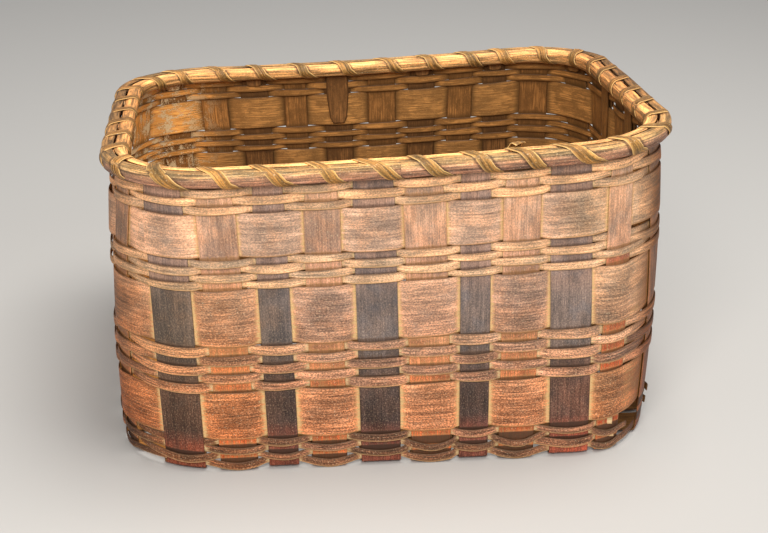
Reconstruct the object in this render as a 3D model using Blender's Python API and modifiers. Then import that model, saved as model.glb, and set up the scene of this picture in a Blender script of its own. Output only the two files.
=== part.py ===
"""Rectangular splint basket: a plaited base, upright stakes, woven wall rows and a lashed rim.

Units are metres, +Z is up, +X runs along the long side, and the origin is on the standing
surface under the middle of the base. Every splint is its own object. Each stake splint runs up
one wall, across the base and up the opposite wall. Each weaver is one ring round the wall, and
it passes outside one stake and inside the next. Two hoops clamp the top of the wall, and one
long lashing splint winds round both and through the gaps between the stakes.
"""

import math

import bmesh
import bpy

# The wall's middle line at the rim
HALF_LENGTH = 0.2073
HALF_WIDTH = 0.160
RIM_CORNER_RADIUS = 0.073

# How the wall differs from a straight prism
BASE_CORNER_RADIUS = 0.075
WALL_BULGE = 0.0037
LENGTH_SPREAD = 0.0062
WIDTH_SPREAD = 0.0048
BASE_LEAN = 0.0026
RISE_TO_RIGHT = 0.0105
RISE_TO_FRONT = 0.0117
RISE_TO_ENDS = 0.0045

# Splints
STAKE_THICKNESS = 0.0010
WEAVER_THICKNESS = 0.0008
LASHING_THICKNESS = 0.0006
CLEARANCE = 0.00035
EDGE_CLEARANCE = 0.0006
ROW_GAP = 0.0005
FOLD_RADIUS = 0.0025
LASHING_CLEARANCE = 0.0008

# Heights of the rows, from the base up
BOTTOM_ROW_HEIGHT = 0.0055
LOW_BAND_HEIGHT = 0.0399
MIDDLE_ROW_HEIGHT = 0.0070
MIDDLE_BAND_HEIGHT = 0.0450
UPPER_ROW_HEIGHT = 0.0054
HIGH_BAND_HEIGHT = 0.0330
TOP_ROW_HEIGHT = 0.0057

# Rim
HOOP_WIDTH = 0.0075
HOOP_HEIGHT = 0.0118
STAKE_TOP_DROP = 0.0016

# Counts
CROSS_STAKES = 10
LONG_STAKES = 8
BOTTOM_ROWS = 4
MIDDLE_ROWS = 5
UPPER_ROWS = 4
TOP_ROWS = 3

# Widths of the stakes as shares of the stake pitch, one value for each splint
FRONT_WIDTH_SHARES = (0.87, 0.77, 0.62, 0.72, 0.83, 0.84, 0.61, 0.75, 0.85, 0.58)
BACK_WIDTH_SHARES = (0.72, 0.65, 0.70, 0.56, 0.68, 0.70, 0.68, 0.62, 0.62, 0.72)
LEFT_WIDTH_SHARES = (0.60, 0.74, 0.70, 0.76, 0.74, 0.72, 0.75, 0.72)
RIGHT_WIDTH_SHARES = (0.74, 0.72, 0.75, 0.73, 0.71, 0.74, 0.72, 0.74)

# Each stake's distance from its even place, as shares of the pitch: three at the rim, one at the base
FRONT_SHIFT_SHARES = (-0.14, -0.10, -0.061, -0.032, -0.028, -0.05, -0.024, -0.102, -0.157, -0.053)
BACK_SHIFT_SHARES = (-0.176, -0.146, -0.127, -0.114, -0.067, 0.05, 0.079, 0.076, -0.095, -0.08)
LEFT_SHIFT_SHARES = (0.138, 0.02, 0.03, 0.0, -0.03, 0.02, -0.02, 0.0)
RIGHT_SHIFT_SHARES = (0.02, -0.02, 0.03, 0.0, -0.03, 0.02, -0.02, 0.0)
BASE_SHIFT_SHARES = (0.09, 0.218, 0.142, 0.099, 0.176, 0.242, 0.126, 0.037, 0.189, 0.046)

# The lengthwise splints' places at the base are drawn in by this share, so they fan out up the wall
LONG_FAN_SHARE = 0.95

# Widths narrow from one height share to the rim, to this share of the full width
TAPER_START_SHARE = 0.86
CUT_TOP_WIDTH_SHARE = 0.88
FOLDED_TOP_WIDTH_SHARE = 0.66
TAIL_WIDTH_SHARES = (0.66, 0.60, 0.42)

HIDDEN_ROW_SHARE = 0.50
LASHING_WIDTH_SHARE = 0.17
CORNER_POINT_SHARE = 0.6
WALL_STEPS = 7
FOLD_STEPS = 3
FLAT_TURN = math.radians(1.0)
STRAIGHT_STEP = 3

# Section of a half-round hoop, from the flat face outwards, in shares of its width and height
HOOP_PROFILE_SHARES = ((0.0, 0.0), (0.70, 0.15), (1.0, 0.5), (0.70, 0.85), (0.0, 1.0))

# The lashing's way round the rim, in shares along the stake that it crosses
LASH_GAP_SHARE = 0.5
LASH_RISE_SHARE = 0.2
LASH_INNER_TOP_SHARE = 0.38
LASH_OUTER_TOP_SHARE = 0.55
LASH_FALL_SHARE = 0.78

# Worked out from the sizes above
STAKE_STEP = STAKE_THICKNESS + CLEARANCE
WEAVER_STEP = (STAKE_THICKNESS + WEAVER_THICKNESS) / 2 + CLEARANCE
FLOOR_LEVEL = STAKE_STEP + STAKE_THICKNESS / 2
FOLD_TOP = FLOOR_LEVEL + FOLD_RADIUS
HIDDEN_ROW_HEIGHT = HIDDEN_ROW_SHARE * HOOP_HEIGHT
LASH_SLOT = LASHING_THICKNESS + 2 * CLEARANCE
TAIL_STEP = WEAVER_STEP + WEAVER_THICKNESS / 2 + CLEARANCE + STAKE_THICKNESS / 2
OUTER_HOOP_FACE = WEAVER_STEP + WEAVER_THICKNESS / 2 + CLEARANCE
INNER_HOOP_FACE = TAIL_STEP + STAKE_THICKNESS / 2 + CLEARANCE
PERIMETER = (
    4 * (HALF_LENGTH + HALF_WIDTH - 2 * RIM_CORNER_RADIUS) + 2 * math.pi * RIM_CORNER_RADIUS
)
STAKE_ENDS = 2 * (CROSS_STAKES + LONG_STAKES)
PITCH = PERIMETER / STAKE_ENDS
LASHING_WIDTH = LASHING_WIDTH_SHARE * PITCH


def row_table():
    """Every row as (name, bottom, top), from the base up. The last one is hidden by the hoops."""
    groups = (
        [("narrow", BOTTOM_ROW_HEIGHT)] * BOTTOM_ROWS
        + [("wide_weaver_low", LOW_BAND_HEIGHT)]
        + [("narrow", MIDDLE_ROW_HEIGHT)] * MIDDLE_ROWS
        + [("wide_weaver_middle", MIDDLE_BAND_HEIGHT)]
        + [("narrow", UPPER_ROW_HEIGHT)] * UPPER_ROWS
        + [("wide_weaver_high", HIGH_BAND_HEIGHT)]
        + [("narrow", TOP_ROW_HEIGHT)] * TOP_ROWS
    )
    rows, level, narrow = [], FOLD_TOP + ROW_GAP, 0
    for name, height in groups:
        if name == "narrow":
            narrow += 1
            name = f"narrow_weaver_{narrow:02d}"
        rows.append((name, level, level + height))
        level += height + ROW_GAP
    level += LASH_SLOT - ROW_GAP
    rows.append((f"narrow_weaver_{narrow + 1:02d}", level, level + HIDDEN_ROW_HEIGHT))
    return rows


ROWS = row_table()
HOOP_BOTTOM = ROWS[-1][1]
HOOP_TOP = HOOP_BOTTOM + HOOP_HEIGHT
LASH_LEVEL = HOOP_BOTTOM - CLEARANCE - LASHING_THICKNESS / 2
HIGH_BAND_BOTTOM, HIGH_BAND_TOP = ROWS[-TOP_ROWS - 2][1:]
FOLDED_TOP = ROWS[-1][2] + CLEARANCE + STAKE_THICKNESS / 2
CUT_TOP = HOOP_TOP - STAKE_TOP_DROP


def height_share(z):
    """0 at the base and 1 at the top of the hoops."""
    return min(max((z - FLOOR_LEVEL) / (HOOP_TOP - FLOOR_LEVEL), 0.0), 1.0)


def settled(x, y, z):
    """The point where the old basket has settled: its rim is out of level and off its base."""
    along, across = x / HALF_LENGTH, y / HALF_WIDTH
    rise = RISE_TO_RIGHT * along - RISE_TO_FRONT * across + RISE_TO_ENDS * along * along
    share = height_share(z)
    return (x + BASE_LEAN * (1 - share), y, z + share * rise)


def plan_sizes(share):
    """Half length, half width and corner radius of the wall's middle line at a height share."""
    swell = 4 * WALL_BULGE * share * (1 - share)
    length = HALF_LENGTH + swell + LENGTH_SPREAD * (1 - share)
    width = HALF_WIDTH + swell + WIDTH_SPREAD * (1 - share)
    return length, width, BASE_CORNER_RADIUS + (RIM_CORNER_RADIUS - BASE_CORNER_RADIUS) * share


def place_from_arc(arc, half, radius):
    """Place across the side of a stake whose distance along the rim from the middle is arc."""
    straight = half - radius
    if abs(arc) <= straight:
        return arc
    turn = (abs(arc) - straight) / radius
    return math.copysign(straight + radius * math.sin(turn), arc)


def side_of(end):
    """Which side a stake end is on, with the splint's number: ends go anticlockwise."""
    if end < CROSS_STAKES:
        return "front", end
    end -= CROSS_STAKES
    if end < LONG_STAKES:
        return "right", end
    end -= LONG_STAKES
    if end < CROSS_STAKES:
        return "back", CROSS_STAKES - 1 - end
    return "left", LONG_STAKES - 1 - (end - CROSS_STAKES)


def end_of(side, number):
    """The stake end's place in the anticlockwise order."""
    if side == "front":
        return number
    if side == "right":
        return CROSS_STAKES + number
    if side == "back":
        return 2 * CROSS_STAKES + LONG_STAKES - 1 - number
    return STAKE_ENDS - 1 - number


def is_folded(end):
    """Every second stake end lies outside the top row and is folded over it to the inside."""
    return end % 2 == 1


def full_width(side, number):
    shares = {
        "front": FRONT_WIDTH_SHARES,
        "back": BACK_WIDTH_SHARES,
        "left": LEFT_WIDTH_SHARES,
        "right": RIGHT_WIDTH_SHARES,
    }[side]
    return PITCH * shares[number]


def stake_width(end, share):
    width = full_width(*side_of(end))
    top = FOLDED_TOP_WIDTH_SHARE if is_folded(end) else CUT_TOP_WIDTH_SHARE
    narrowing = max(share - TAPER_START_SHARE, 0.0) / (1 - TAPER_START_SHARE)
    return width * (1 + (top - 1) * narrowing)


def rim_place(side, number):
    """A stake's place across its own side, at the rim."""
    shifts = {
        "front": FRONT_SHIFT_SHARES,
        "back": BACK_SHIFT_SHARES,
        "left": LEFT_SHIFT_SHARES,
        "right": RIGHT_SHIFT_SHARES,
    }[side]
    half = HALF_LENGTH if side in ("front", "back") else HALF_WIDTH
    arc = PITCH * (number - (len(shifts) - 1) / 2 + shifts[number])
    return place_from_arc(arc, half, RIM_CORNER_RADIUS)


def base_place(side, number):
    """A splint's place in the base, which is the same at both its ends."""
    if side in ("front", "back"):
        return PITCH * (number - (CROSS_STAKES - 1) / 2 + BASE_SHIFT_SHARES[number])
    return LONG_FAN_SHARE * rim_place("right", number)


def corner_turn(place, half, radius):
    """How far the wall has turned round its corner at a place across the side."""
    past = max(abs(place) - (half - radius), 0.0)
    return math.copysign(math.asin(past / radius), place)


def wall_frame(end, z):
    """Centre (x, y), anticlockwise direction and outward direction of a stake end at level z.

    A stake's face keeps its direction at the rim all the way up, so it stays flat.
    """
    side, number = side_of(end)
    share = height_share(z)
    length, width, radius = plan_sizes(share)
    at_rim = rim_place(side, number)
    place = base_place(side, number) * (1 - share) + at_rim * share
    half, depth = (length, width) if side in ("front", "back") else (width, length)
    reach = depth - radius + radius * math.cos(corner_turn(place, half, radius))
    rim_half = HALF_LENGTH if side in ("front", "back") else HALF_WIDTH
    turn = corner_turn(at_rim, rim_half, RIM_CORNER_RADIUS)
    cos, sin = math.cos(turn), math.sin(turn)
    if side == "front":
        return (place, -reach), (cos, sin), (sin, -cos)
    if side == "back":
        return (place, reach), (-cos, sin), (sin, cos)
    if side == "right":
        return (reach, place), (-sin, cos), (cos, sin)
    return (-reach, place), (-sin, -cos), (-cos, sin)


def wall_point(end, z, along, out):
    """A point beside a stake end's centre, in the settled basket's space before it settles."""
    (x, y), (dx, dy), (nx, ny) = wall_frame(end, z)
    return (x + along * dx + out * nx, y + along * dy + out * ny, z)


def part_collection():
    collection = bpy.data.collections.new("splint_basket")
    bpy.context.scene.collection.children.link(collection)
    return collection


def clear_scene():
    for item in list(bpy.data.objects):
        bpy.data.objects.remove(item, do_unlink=True)


def finish(name, colour, roughness):
    """A plain wood finish with its own colour and roughness."""
    material = bpy.data.materials.new(name)
    material.use_nodes = True
    shader = material.node_tree.nodes["Principled BSDF"]
    shader.inputs["Base Color"].default_value = (*colour, 1.0)
    shader.inputs["Roughness"].default_value = roughness
    shader.inputs["Metallic"].default_value = 0.0
    return material


def skin(name, loops, along_closed, across_closed):
    """A mesh of four-sided faces through rows of points of equal length."""
    shape = bmesh.new()
    grid = [[shape.verts.new(settled(*point)) for point in loop] for loop in loops]
    rows, columns = len(grid), len(grid[0])
    for i in range(rows if across_closed else rows - 1):
        low, high = grid[i], grid[(i + 1) % rows]
        for j in range(columns if along_closed else columns - 1):
            k = (j + 1) % columns
            shape.faces.new((low[j], low[k], high[k], high[j]))
    bmesh.ops.recalc_face_normals(shape, faces=shape.faces)
    mesh = bpy.data.meshes.new(name)
    shape.to_mesh(mesh)
    shape.free()
    return mesh


def add_splint(collection, name, rails, thickness, material, closed):
    """A thin splint: the surface between two rails, given its thickness on both sides."""
    item = bpy.data.objects.new(name, skin(name, rails, closed, False))
    item.data.materials.append(material)
    collection.objects.link(item)
    wall = item.modifiers.new("thickness", "SOLIDIFY")
    wall.thickness = thickness
    wall.offset = 0.0
    wall.use_even_offset = True
    wall.use_quality_normals = True
    wall.use_rim = True
    return item


def rail_pair(stations):
    """Left and right rails from (centre, sideways direction, width) stations."""
    left, right = [], []
    for (x, y, z), (dx, dy), width in stations:
        left.append((x - dx * width / 2, y - dy * width / 2, z))
        right.append((x + dx * width / 2, y + dy * width / 2, z))
    return left, right


def wall_levels(top):
    """Levels of a stake's stations up the wall, above its fold."""
    return [FOLD_TOP + (top - FOLD_TOP) * step / WALL_STEPS for step in range(WALL_STEPS + 1)]


def sideways(end, direction):
    """The direction across a splint, the same way all along it."""
    sign = 1 if side_of(end)[0] in ("front", "right") else -1
    return (sign * direction[0], sign * direction[1])


def climbing_stations(end):
    """A stake end's stations from the base fold to its top, and down again where it is folded."""
    folded = is_folded(end)
    stations = []
    for z in wall_levels(FOLDED_TOP if folded else CUT_TOP):
        centre, direction, _ = wall_frame(end, z)
        stations.append(((*centre, z), sideways(end, direction), stake_width(end, height_share(z))))
    if not folded:
        return stations
    full = full_width(*side_of(end))
    tail = (FOLDED_TOP, HIGH_BAND_TOP, HIGH_BAND_BOTTOM)
    for z, narrow in zip(tail, TAIL_WIDTH_SHARES):
        _, direction, _ = wall_frame(end, z)
        centre = wall_point(end, z, 0.0, -TAIL_STEP)
        stations.append((centre, sideways(end, direction), full * narrow))
    return stations


def fold_stations(end):
    """The turn from the base up into the wall, from the flat part outwards."""
    (x, y), direction, _ = wall_frame(end, FOLD_TOP)
    side, number = side_of(end)
    crossing = side in ("front", "back")
    reach, place = (abs(y), x) if crossing else (abs(x), y)
    sign = -1 if side in ("front", "left") else 1
    across = sideways(end, direction)
    stations = []
    for step in range(FOLD_STEPS):
        angle = math.pi / 2 * step / FOLD_STEPS
        turned = step / FOLD_STEPS
        out = sign * (reach - FOLD_RADIUS * (1 - math.sin(angle)))
        spot = base_place(side, number) * (1 - turned) + place * turned
        z = FLOOR_LEVEL + FOLD_RADIUS * (1 - math.cos(angle))
        centre = (spot, out, z) if crossing else (out, spot, z)
        straight = (1.0, 0.0) if crossing else (0.0, 1.0)
        mixed = [straight[k] * (1 - turned) + across[k] * turned for k in (0, 1)]
        scale = math.hypot(*mixed)
        direction_here = (mixed[0] / scale, mixed[1] / scale)
        stations.append((centre, direction_here, full_width(side, number)))
    return stations


def cross_width(number, y):
    """Width of a front-to-back splint in the base, which changes evenly end to end."""
    share = 0.5 + y / (2 * HALF_WIDTH)
    front, back = full_width("front", number), full_width("back", number)
    return front + (back - front) * share


def long_width(number, x):
    share = 0.5 + x / (2 * HALF_LENGTH)
    left, right = full_width("left", number), full_width("right", number)
    return left + (right - left) * share


def base_run(number):
    """A lengthwise splint's stations where it passes over and under the cross splints."""
    y = base_place("left", number)
    stations = []
    for cross in range(CROSS_STAKES):
        x = base_place("front", cross)
        half = cross_width(cross, y) / 2 + EDGE_CLEARANCE
        level = FLOOR_LEVEL + (STAKE_STEP if (cross + number) % 2 else -STAKE_STEP)
        for edge in (x - half, x + half):
            stations.append(((edge, y, level), (0.0, 1.0), long_width(number, edge)))
    return stations


def add_stake(collection, name, first_end, second_end, middle, material):
    """A splint from the top of one wall, through the base, to the top of the other."""
    stations = climbing_stations(first_end)[::-1] + fold_stations(first_end)[::-1]
    stations += middle + fold_stations(second_end) + climbing_stations(second_end)
    return add_splint(collection, name, rail_pair(stations), STAKE_THICKNESS, material, False)


def corner_point(before, after, z):
    """A point on the rounded corner between two stake ends, half way round."""
    length, width, radius = plan_sizes(height_share(z))
    sx, sy = math.copysign(1, before[0]), math.copysign(1, before[1])
    cx, cy = sx * (length - radius), sy * (width - radius)
    turns = [math.atan2(point[1] - cy, point[0] - cx) for point in (before, after)]
    reaches = [math.hypot(point[1] - cy, point[0] - cx) for point in (before, after)]
    while turns[1] < turns[0]:
        turns[1] += 2 * math.pi
    turn, reach = sum(turns) / 2, max(sum(reaches) / 2, radius)
    return (cx + reach * math.cos(turn), cy + reach * math.sin(turn), z)


def last_on_side(end):
    return side_of(end)[0] != side_of((end + 1) % STAKE_ENDS)[0]


def weaver_loop(z, covered, with_corners):
    """A weaver's edge at level z. It passes outside the ends whose number is covered, modulo 2."""
    loop = []
    for end in range(STAKE_ENDS):
        out = WEAVER_STEP if end % 2 == covered else -WEAVER_STEP
        half = stake_width(end, height_share(z)) / 2 + EDGE_CLEARANCE
        loop += [wall_point(end, z, -half, out), wall_point(end, z, half, out)]
        if with_corners and last_on_side(end):
            after = (end + 1) % STAKE_ENDS
            half = stake_width(after, height_share(z)) / 2 + EDGE_CLEARANCE
            following = wall_point(after, z, -half, -out)
            loop.append(corner_point(loop[-1], following, z))
    return loop


def add_weavers(collection, band_finish, narrow_finish):
    for index, (name, bottom, top) in enumerate(ROWS):
        covered = (index + 1) % 2
        with_corners = height_share(bottom) < CORNER_POINT_SHARE
        rails = [weaver_loop(z, covered, with_corners) for z in (bottom, top)]
        material = band_finish if name.startswith("wide") else narrow_finish
        add_splint(collection, name, rails, WEAVER_THICKNESS, material, True)


def rim_outline(z):
    """Corner points of the wall at a level of the rim: both edges of every stake end."""
    points = []
    for end in range(STAKE_ENDS):
        half = stake_width(end, height_share(HOOP_BOTTOM)) / 2
        for along in (-half, half):
            points.append(wall_point(end, z, along, 0.0)[:2])
    return points


def offset_corner(outline, index, distance):
    """A corner point of a closed outline moved outwards, so each side moves by the distance."""
    count = len(outline)
    before, here, after = (outline[(index + k) % count] for k in (-1, 0, 1))
    first = math.atan2(here[1] - before[1], here[0] - before[0])
    second = math.atan2(after[1] - here[1], after[0] - here[0])
    turn = (second - first + math.pi) % (2 * math.pi) - math.pi
    middle = first + turn / 2
    reach = distance / math.cos(turn / 2)
    x, y = here[0] + reach * math.sin(middle), here[1] - reach * math.cos(middle)
    return (x, y), (math.cos(middle), math.sin(middle)), abs(turn)


def add_hoop(collection, name, face, sign, material):
    """A half-round hoop with its flat face against the wall."""
    outline = rim_outline(HOOP_BOTTOM)
    kept = [
        index
        for index in range(len(outline))
        if offset_corner(outline, index, 0.0)[2] > FLAT_TURN or index % STRAIGHT_STEP == 0
    ]
    loops = []
    for out, up in HOOP_PROFILE_SHARES:
        distance = sign * (face + out * HOOP_WIDTH)
        level = HOOP_BOTTOM + up * HOOP_HEIGHT
        outline = rim_outline(level)
        loops.append([(*offset_corner(outline, index, distance)[0], level) for index in kept])
    item = bpy.data.objects.new(name, skin(name, loops, True, True))
    item.data.materials.append(material)
    collection.objects.link(item)
    return item


def lashing_section():
    """The wall's outline, the distance from it and the level at each station of one turn."""
    thin = LASHING_THICKNESS / 2
    near, far = CLEARANCE + thin, LASHING_CLEARANCE + thin
    side = HOOP_PROFILE_SHARES[1][0] * HOOP_WIDTH
    shoulder = HOOP_BOTTOM + HOOP_PROFILE_SHARES[3][1] * HOOP_HEIGHT
    middle = HOOP_BOTTOM + HOOP_HEIGHT / 2
    spots = {
        "outer_low": (OUTER_HOOP_FACE + side, LASH_LEVEL),
        "inner_low": (-INNER_HOOP_FACE - side, LASH_LEVEL),
        "inner_middle": (-INNER_HOOP_FACE - HOOP_WIDTH - far, middle),
        "inner_shoulder": (-INNER_HOOP_FACE - side - far, shoulder + far),
        "inner_top": (-INNER_HOOP_FACE, HOOP_TOP + near),
        "outer_top": (OUTER_HOOP_FACE, HOOP_TOP + near),
        "outer_shoulder": (OUTER_HOOP_FACE + side + far, shoulder + far),
        "outer_middle": (OUTER_HOOP_FACE + HOOP_WIDTH + far, middle),
    }
    return {name: (rim_outline(level), out, level) for name, (out, level) in spots.items()}


def facet_station(spot, index, share):
    """A station on the straight stretch after a corner point of the outline."""
    outline, out, z = spot
    start, end = outline[index % len(outline)], outline[(index + 1) % len(outline)]
    length = math.dist(start, end)
    dx, dy = (end[0] - start[0]) / length, (end[1] - start[1]) / length
    x = start[0] + (end[0] - start[0]) * share + out * dy
    y = start[1] + (end[1] - start[1]) * share - out * dx
    return ((x, y, z), (dx, dy), LASHING_WIDTH)


def corner_station(spot, index):
    """A station level with a corner point of the outline."""
    outline, out, z = spot
    (x, y), direction, _ = offset_corner(outline, index % len(outline), out)
    return ((x, y, z), direction, LASHING_WIDTH)


def lashing_turn(end, spots):
    """One turn: in through the gap before a stake end, up inside, over the hoops and down."""
    left, right = 2 * end, 2 * end + 1
    return [
        facet_station(spots["outer_low"], left - 1, LASH_GAP_SHARE),
        facet_station(spots["inner_low"], left - 1, LASH_GAP_SHARE),
        corner_station(spots["inner_middle"], left),
        facet_station(spots["inner_shoulder"], left, LASH_RISE_SHARE),
        facet_station(spots["inner_top"], left, LASH_INNER_TOP_SHARE),
        facet_station(spots["outer_top"], left, LASH_OUTER_TOP_SHARE),
        facet_station(spots["outer_shoulder"], left, LASH_FALL_SHARE),
        corner_station(spots["outer_middle"], right),
    ]


def add_lashing(collection, material):
    spots = lashing_section()
    stations = [
        station for end in range(STAKE_ENDS) for station in lashing_turn(end, spots)
    ]
    rails = rail_pair(stations)
    add_splint(collection, "rim_lashing", rails, LASHING_THICKNESS, material, False)
    gap = least_gap(rails, len(lashing_turn(0, spots)))
    print("least gap from the lashing to itself, mm:", round(gap * 1000, 2))


def least_gap(rails, turn):
    """Least distance between edge points over half a turn apart, less the thickness."""
    left, right = rails
    gaps = []
    for first in range(len(left)):
        for second in range(first + turn // 2 + 1, min(first + 2 * turn, len(left))):
            gaps += [
                math.dist(a, b)
                for a in (left[first], right[first])
                for b in (left[second], right[second])
            ]
    return min(gaps) - LASHING_THICKNESS


def add_stakes(collection, dark, light, side_finish):
    for number in range(CROSS_STAKES):
        name = f"cross_stake_{number + 1:02d}"
        material = light if number % 2 else dark
        ends = end_of("front", number), end_of("back", number)
        add_stake(collection, name, *ends, [], material)
    for number in range(LONG_STAKES):
        name = f"long_stake_{number + 1:02d}"
        ends = end_of("left", number), end_of("right", number)
        add_stake(collection, name, *ends, base_run(number), side_finish)


def main():
    clear_scene()
    collection = part_collection()
    dark = finish("dark_stain", (0.045, 0.030, 0.026), 0.62)
    light = finish("red_brown_stain", (0.26, 0.12, 0.07), 0.6)
    side_finish = finish("brown_stain", (0.17, 0.09, 0.05), 0.6)
    band_finish = finish("worn_brown", (0.24, 0.12, 0.055), 0.55)
    narrow_finish = finish("worn_grey_brown", (0.22, 0.13, 0.075), 0.55)
    hoop_finish = finish("golden_wood", (0.36, 0.20, 0.09), 0.5)
    lash_finish = finish("pale_golden_wood", (0.48, 0.29, 0.11), 0.5)
    add_stakes(collection, dark, light, side_finish)
    add_weavers(collection, band_finish, narrow_finish)
    add_hoop(collection, "rim_hoop_outer", OUTER_HOOP_FACE, 1, hoop_finish)
    add_hoop(collection, "rim_hoop_inner", INNER_HOOP_FACE, -1, hoop_finish)
    add_lashing(collection, lash_finish)


main()
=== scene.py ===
"""Looks of a rectangular splint basket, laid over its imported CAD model.

Every splint is a thin closed surface worked out on a grid in the wall's own coordinates: the
stake coordinate round the wall, the height and the distance outwards. The stake coordinate is
whole at the middle of each stake end. It counts anticlockwise from the front left corner.
"""

import logging
import math
import sys
from dataclasses import dataclass, field
from enum import Enum
from functools import partialmethod

import bpy
import numpy as np
from mathutils import Matrix, Vector

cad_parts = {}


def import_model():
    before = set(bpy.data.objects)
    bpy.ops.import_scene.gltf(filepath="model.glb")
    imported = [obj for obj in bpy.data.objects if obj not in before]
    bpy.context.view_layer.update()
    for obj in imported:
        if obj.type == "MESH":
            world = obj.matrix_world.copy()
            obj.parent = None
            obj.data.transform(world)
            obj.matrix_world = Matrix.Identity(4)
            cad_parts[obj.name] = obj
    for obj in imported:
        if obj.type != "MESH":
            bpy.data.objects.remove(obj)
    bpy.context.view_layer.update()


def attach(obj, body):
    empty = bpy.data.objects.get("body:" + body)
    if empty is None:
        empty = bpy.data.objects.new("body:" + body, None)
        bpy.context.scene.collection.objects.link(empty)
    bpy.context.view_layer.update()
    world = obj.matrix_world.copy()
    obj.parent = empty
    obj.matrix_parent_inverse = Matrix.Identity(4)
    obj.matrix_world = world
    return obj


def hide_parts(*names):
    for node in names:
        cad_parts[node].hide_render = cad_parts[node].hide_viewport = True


LOG = logging.getLogger("splint_basket")
Array = np.ndarray
Colour = tuple[float, float, float]
Socket = bpy.types.NodeSocket


class Side(Enum):
    """A side of the basket, with the number of quarter turns from the front."""

    FRONT = 0
    RIGHT = 1
    BACK = 2
    LEFT = 3


class Cover(Enum):
    """Which stake ends a weaver passes outside of: the even ones or the odd ones."""

    EVEN = 0
    ODD = 1


class Face(Enum):
    """The two faces of a splint."""

    OUTER = 0.0
    INNER = 1.0


# The sides up which the crosswise splints run.
CROSS_SIDES = (Side.FRONT, Side.BACK)

# Bare wood and gold fade out over these distances along and across a splint, in metres.
END_SCALE, SIDE_SCALE = 0.012, 0.004

# How far the grain of each splint lies from the last one's, in metres.
GRAIN_STEP = 0.37

# How low the tails of folded stake ends hang inside: the usual height, then single ones.
TAIL_LOW = 0.176
TAILS = {17: 0.2225, 19: 0.2225, 21: 0.2225, 23: 0.178, 25: 0.2215, 27: 0.2225}


def smooth(values: Array) -> Array:
    """Ease in and out between 0 and 1: three times the square less twice the cube."""
    t = np.clip(values, 0.0, 1.0)
    return t * t * (3 - 2 * t)


def wobble(values: Array, period: float, seed: int, waves: int = 5) -> Array:
    """Smooth noise that repeats: sines of the first whole waves per period, at seeded phases.

    Args:
        values: where to read it.
        period: the distance after which it repeats.
        seed: which noise.
        waves: how many sines, each a little weaker than the last.

    Returns:
        Noise of about -1 to 1.
    """
    rng = np.random.default_rng(seed)
    total = np.zeros_like(values, dtype=float)
    for wave in range(1, waves + 1):
        total += rng.normal() / math.sqrt(waves) * np.sin(
            2 * np.pi * wave * values / period + rng.uniform(0, 2 * np.pi)
        )
    return total


def swell(share: Array) -> Array:
    """1 at 0 and 0 from 1 on: the square of a quarter cosine."""
    return np.cos(np.pi / 2 * np.clip(share, 0, 1)) ** 2


@dataclass(frozen=True)
class Wall:
    """The wall's middle surface: a rounded rectangle that changes with height and has settled."""

    half_length: float = 0.2073
    half_width: float = 0.160
    rim_radius: float = 0.073
    base_radius: float = 0.075
    bulge: float = 0.0037
    length_spread: float = 0.0062
    width_spread: float = 0.0048
    lean: float = 0.0026
    right_rise: float = 0.0105
    front_rise: float = 0.0117
    end_rise: float = 0.0045
    floor: float = 0.00185
    top: float = 0.24115

    def share(self, z: Array) -> Array:
        """0 at the base and 1 at the top of the hoops."""
        return np.clip((np.asarray(z, float) - self.floor) / (self.top - self.floor), 0.0, 1.0)

    def sizes(self, z: Array) -> tuple[Array, Array, Array]:
        """Half length, half width and corner radius at a height."""
        share = self.share(z)
        swell = 4 * self.bulge * share * (1 - share)
        radius = self.base_radius + (self.rim_radius - self.base_radius) * share
        length = self.half_length + swell + self.length_spread * (1 - share)
        return length, self.half_width + swell + self.width_spread * (1 - share), radius

    def quarter(self, z: Array) -> Array:
        """A quarter of the perimeter: two straights and a quarter circle."""
        length, width, radius = self.sizes(z)
        return length + width - 2 * radius + np.pi / 2 * radius

    def frame(self, arc: Array, z: Array) -> tuple[Array, Array, Array, Array]:
        """Point and outward direction at a distance round the wall.

        The distance is folded into the front right quarter, where it is a straight, a quarter
        circle and a straight, and the signs of the quarter put it back.

        Args:
            arc: distance anticlockwise from the middle of the front.
            z: height before settling.

        Returns:
            x, y and the outward direction's x and y.
        """
        length, width, radius = self.sizes(z)
        quarter = self.quarter(z)
        turn = np.floor(arc / quarter)
        rest = arc - turn * quarter
        which = turn.astype(int) % 4
        rest = np.where(which % 2 == 1, quarter - rest, rest)
        straight = length - radius
        angle = np.clip((rest - straight) / radius, 0, np.pi / 2)
        past = np.maximum(rest - straight - np.pi / 2 * radius, 0)
        x = np.minimum(rest, straight) + radius * np.sin(angle)
        y = past - (width - radius) - radius * np.cos(angle)
        right = np.where(which < 2, 1, -1)
        front = np.where((which == 0) | (which == 3), 1, -1)
        return x * right, y * front, np.sin(angle) * right, -np.cos(angle) * front

    def settle(self, x: Array, y: Array, z: Array) -> Array:
        """Points after settling: the right, the front and the ends stand higher, and it leans."""
        along, across, share = x / self.half_length, y / self.half_width, self.share(z)
        rise = self.right_rise * along - self.front_rise * across + self.end_rise * along**2
        return np.stack(np.broadcast_arrays(x + self.lean * (1 - share), y, z + share * rise), -1)

    def point(self, arc: Array, z: Array, out: Array) -> Array:
        """Points at a distance outwards from the wall's middle surface."""
        x, y, nx, ny = self.frame(arc, z)
        return self.settle(x + out * nx, y + out * ny, z)


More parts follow.
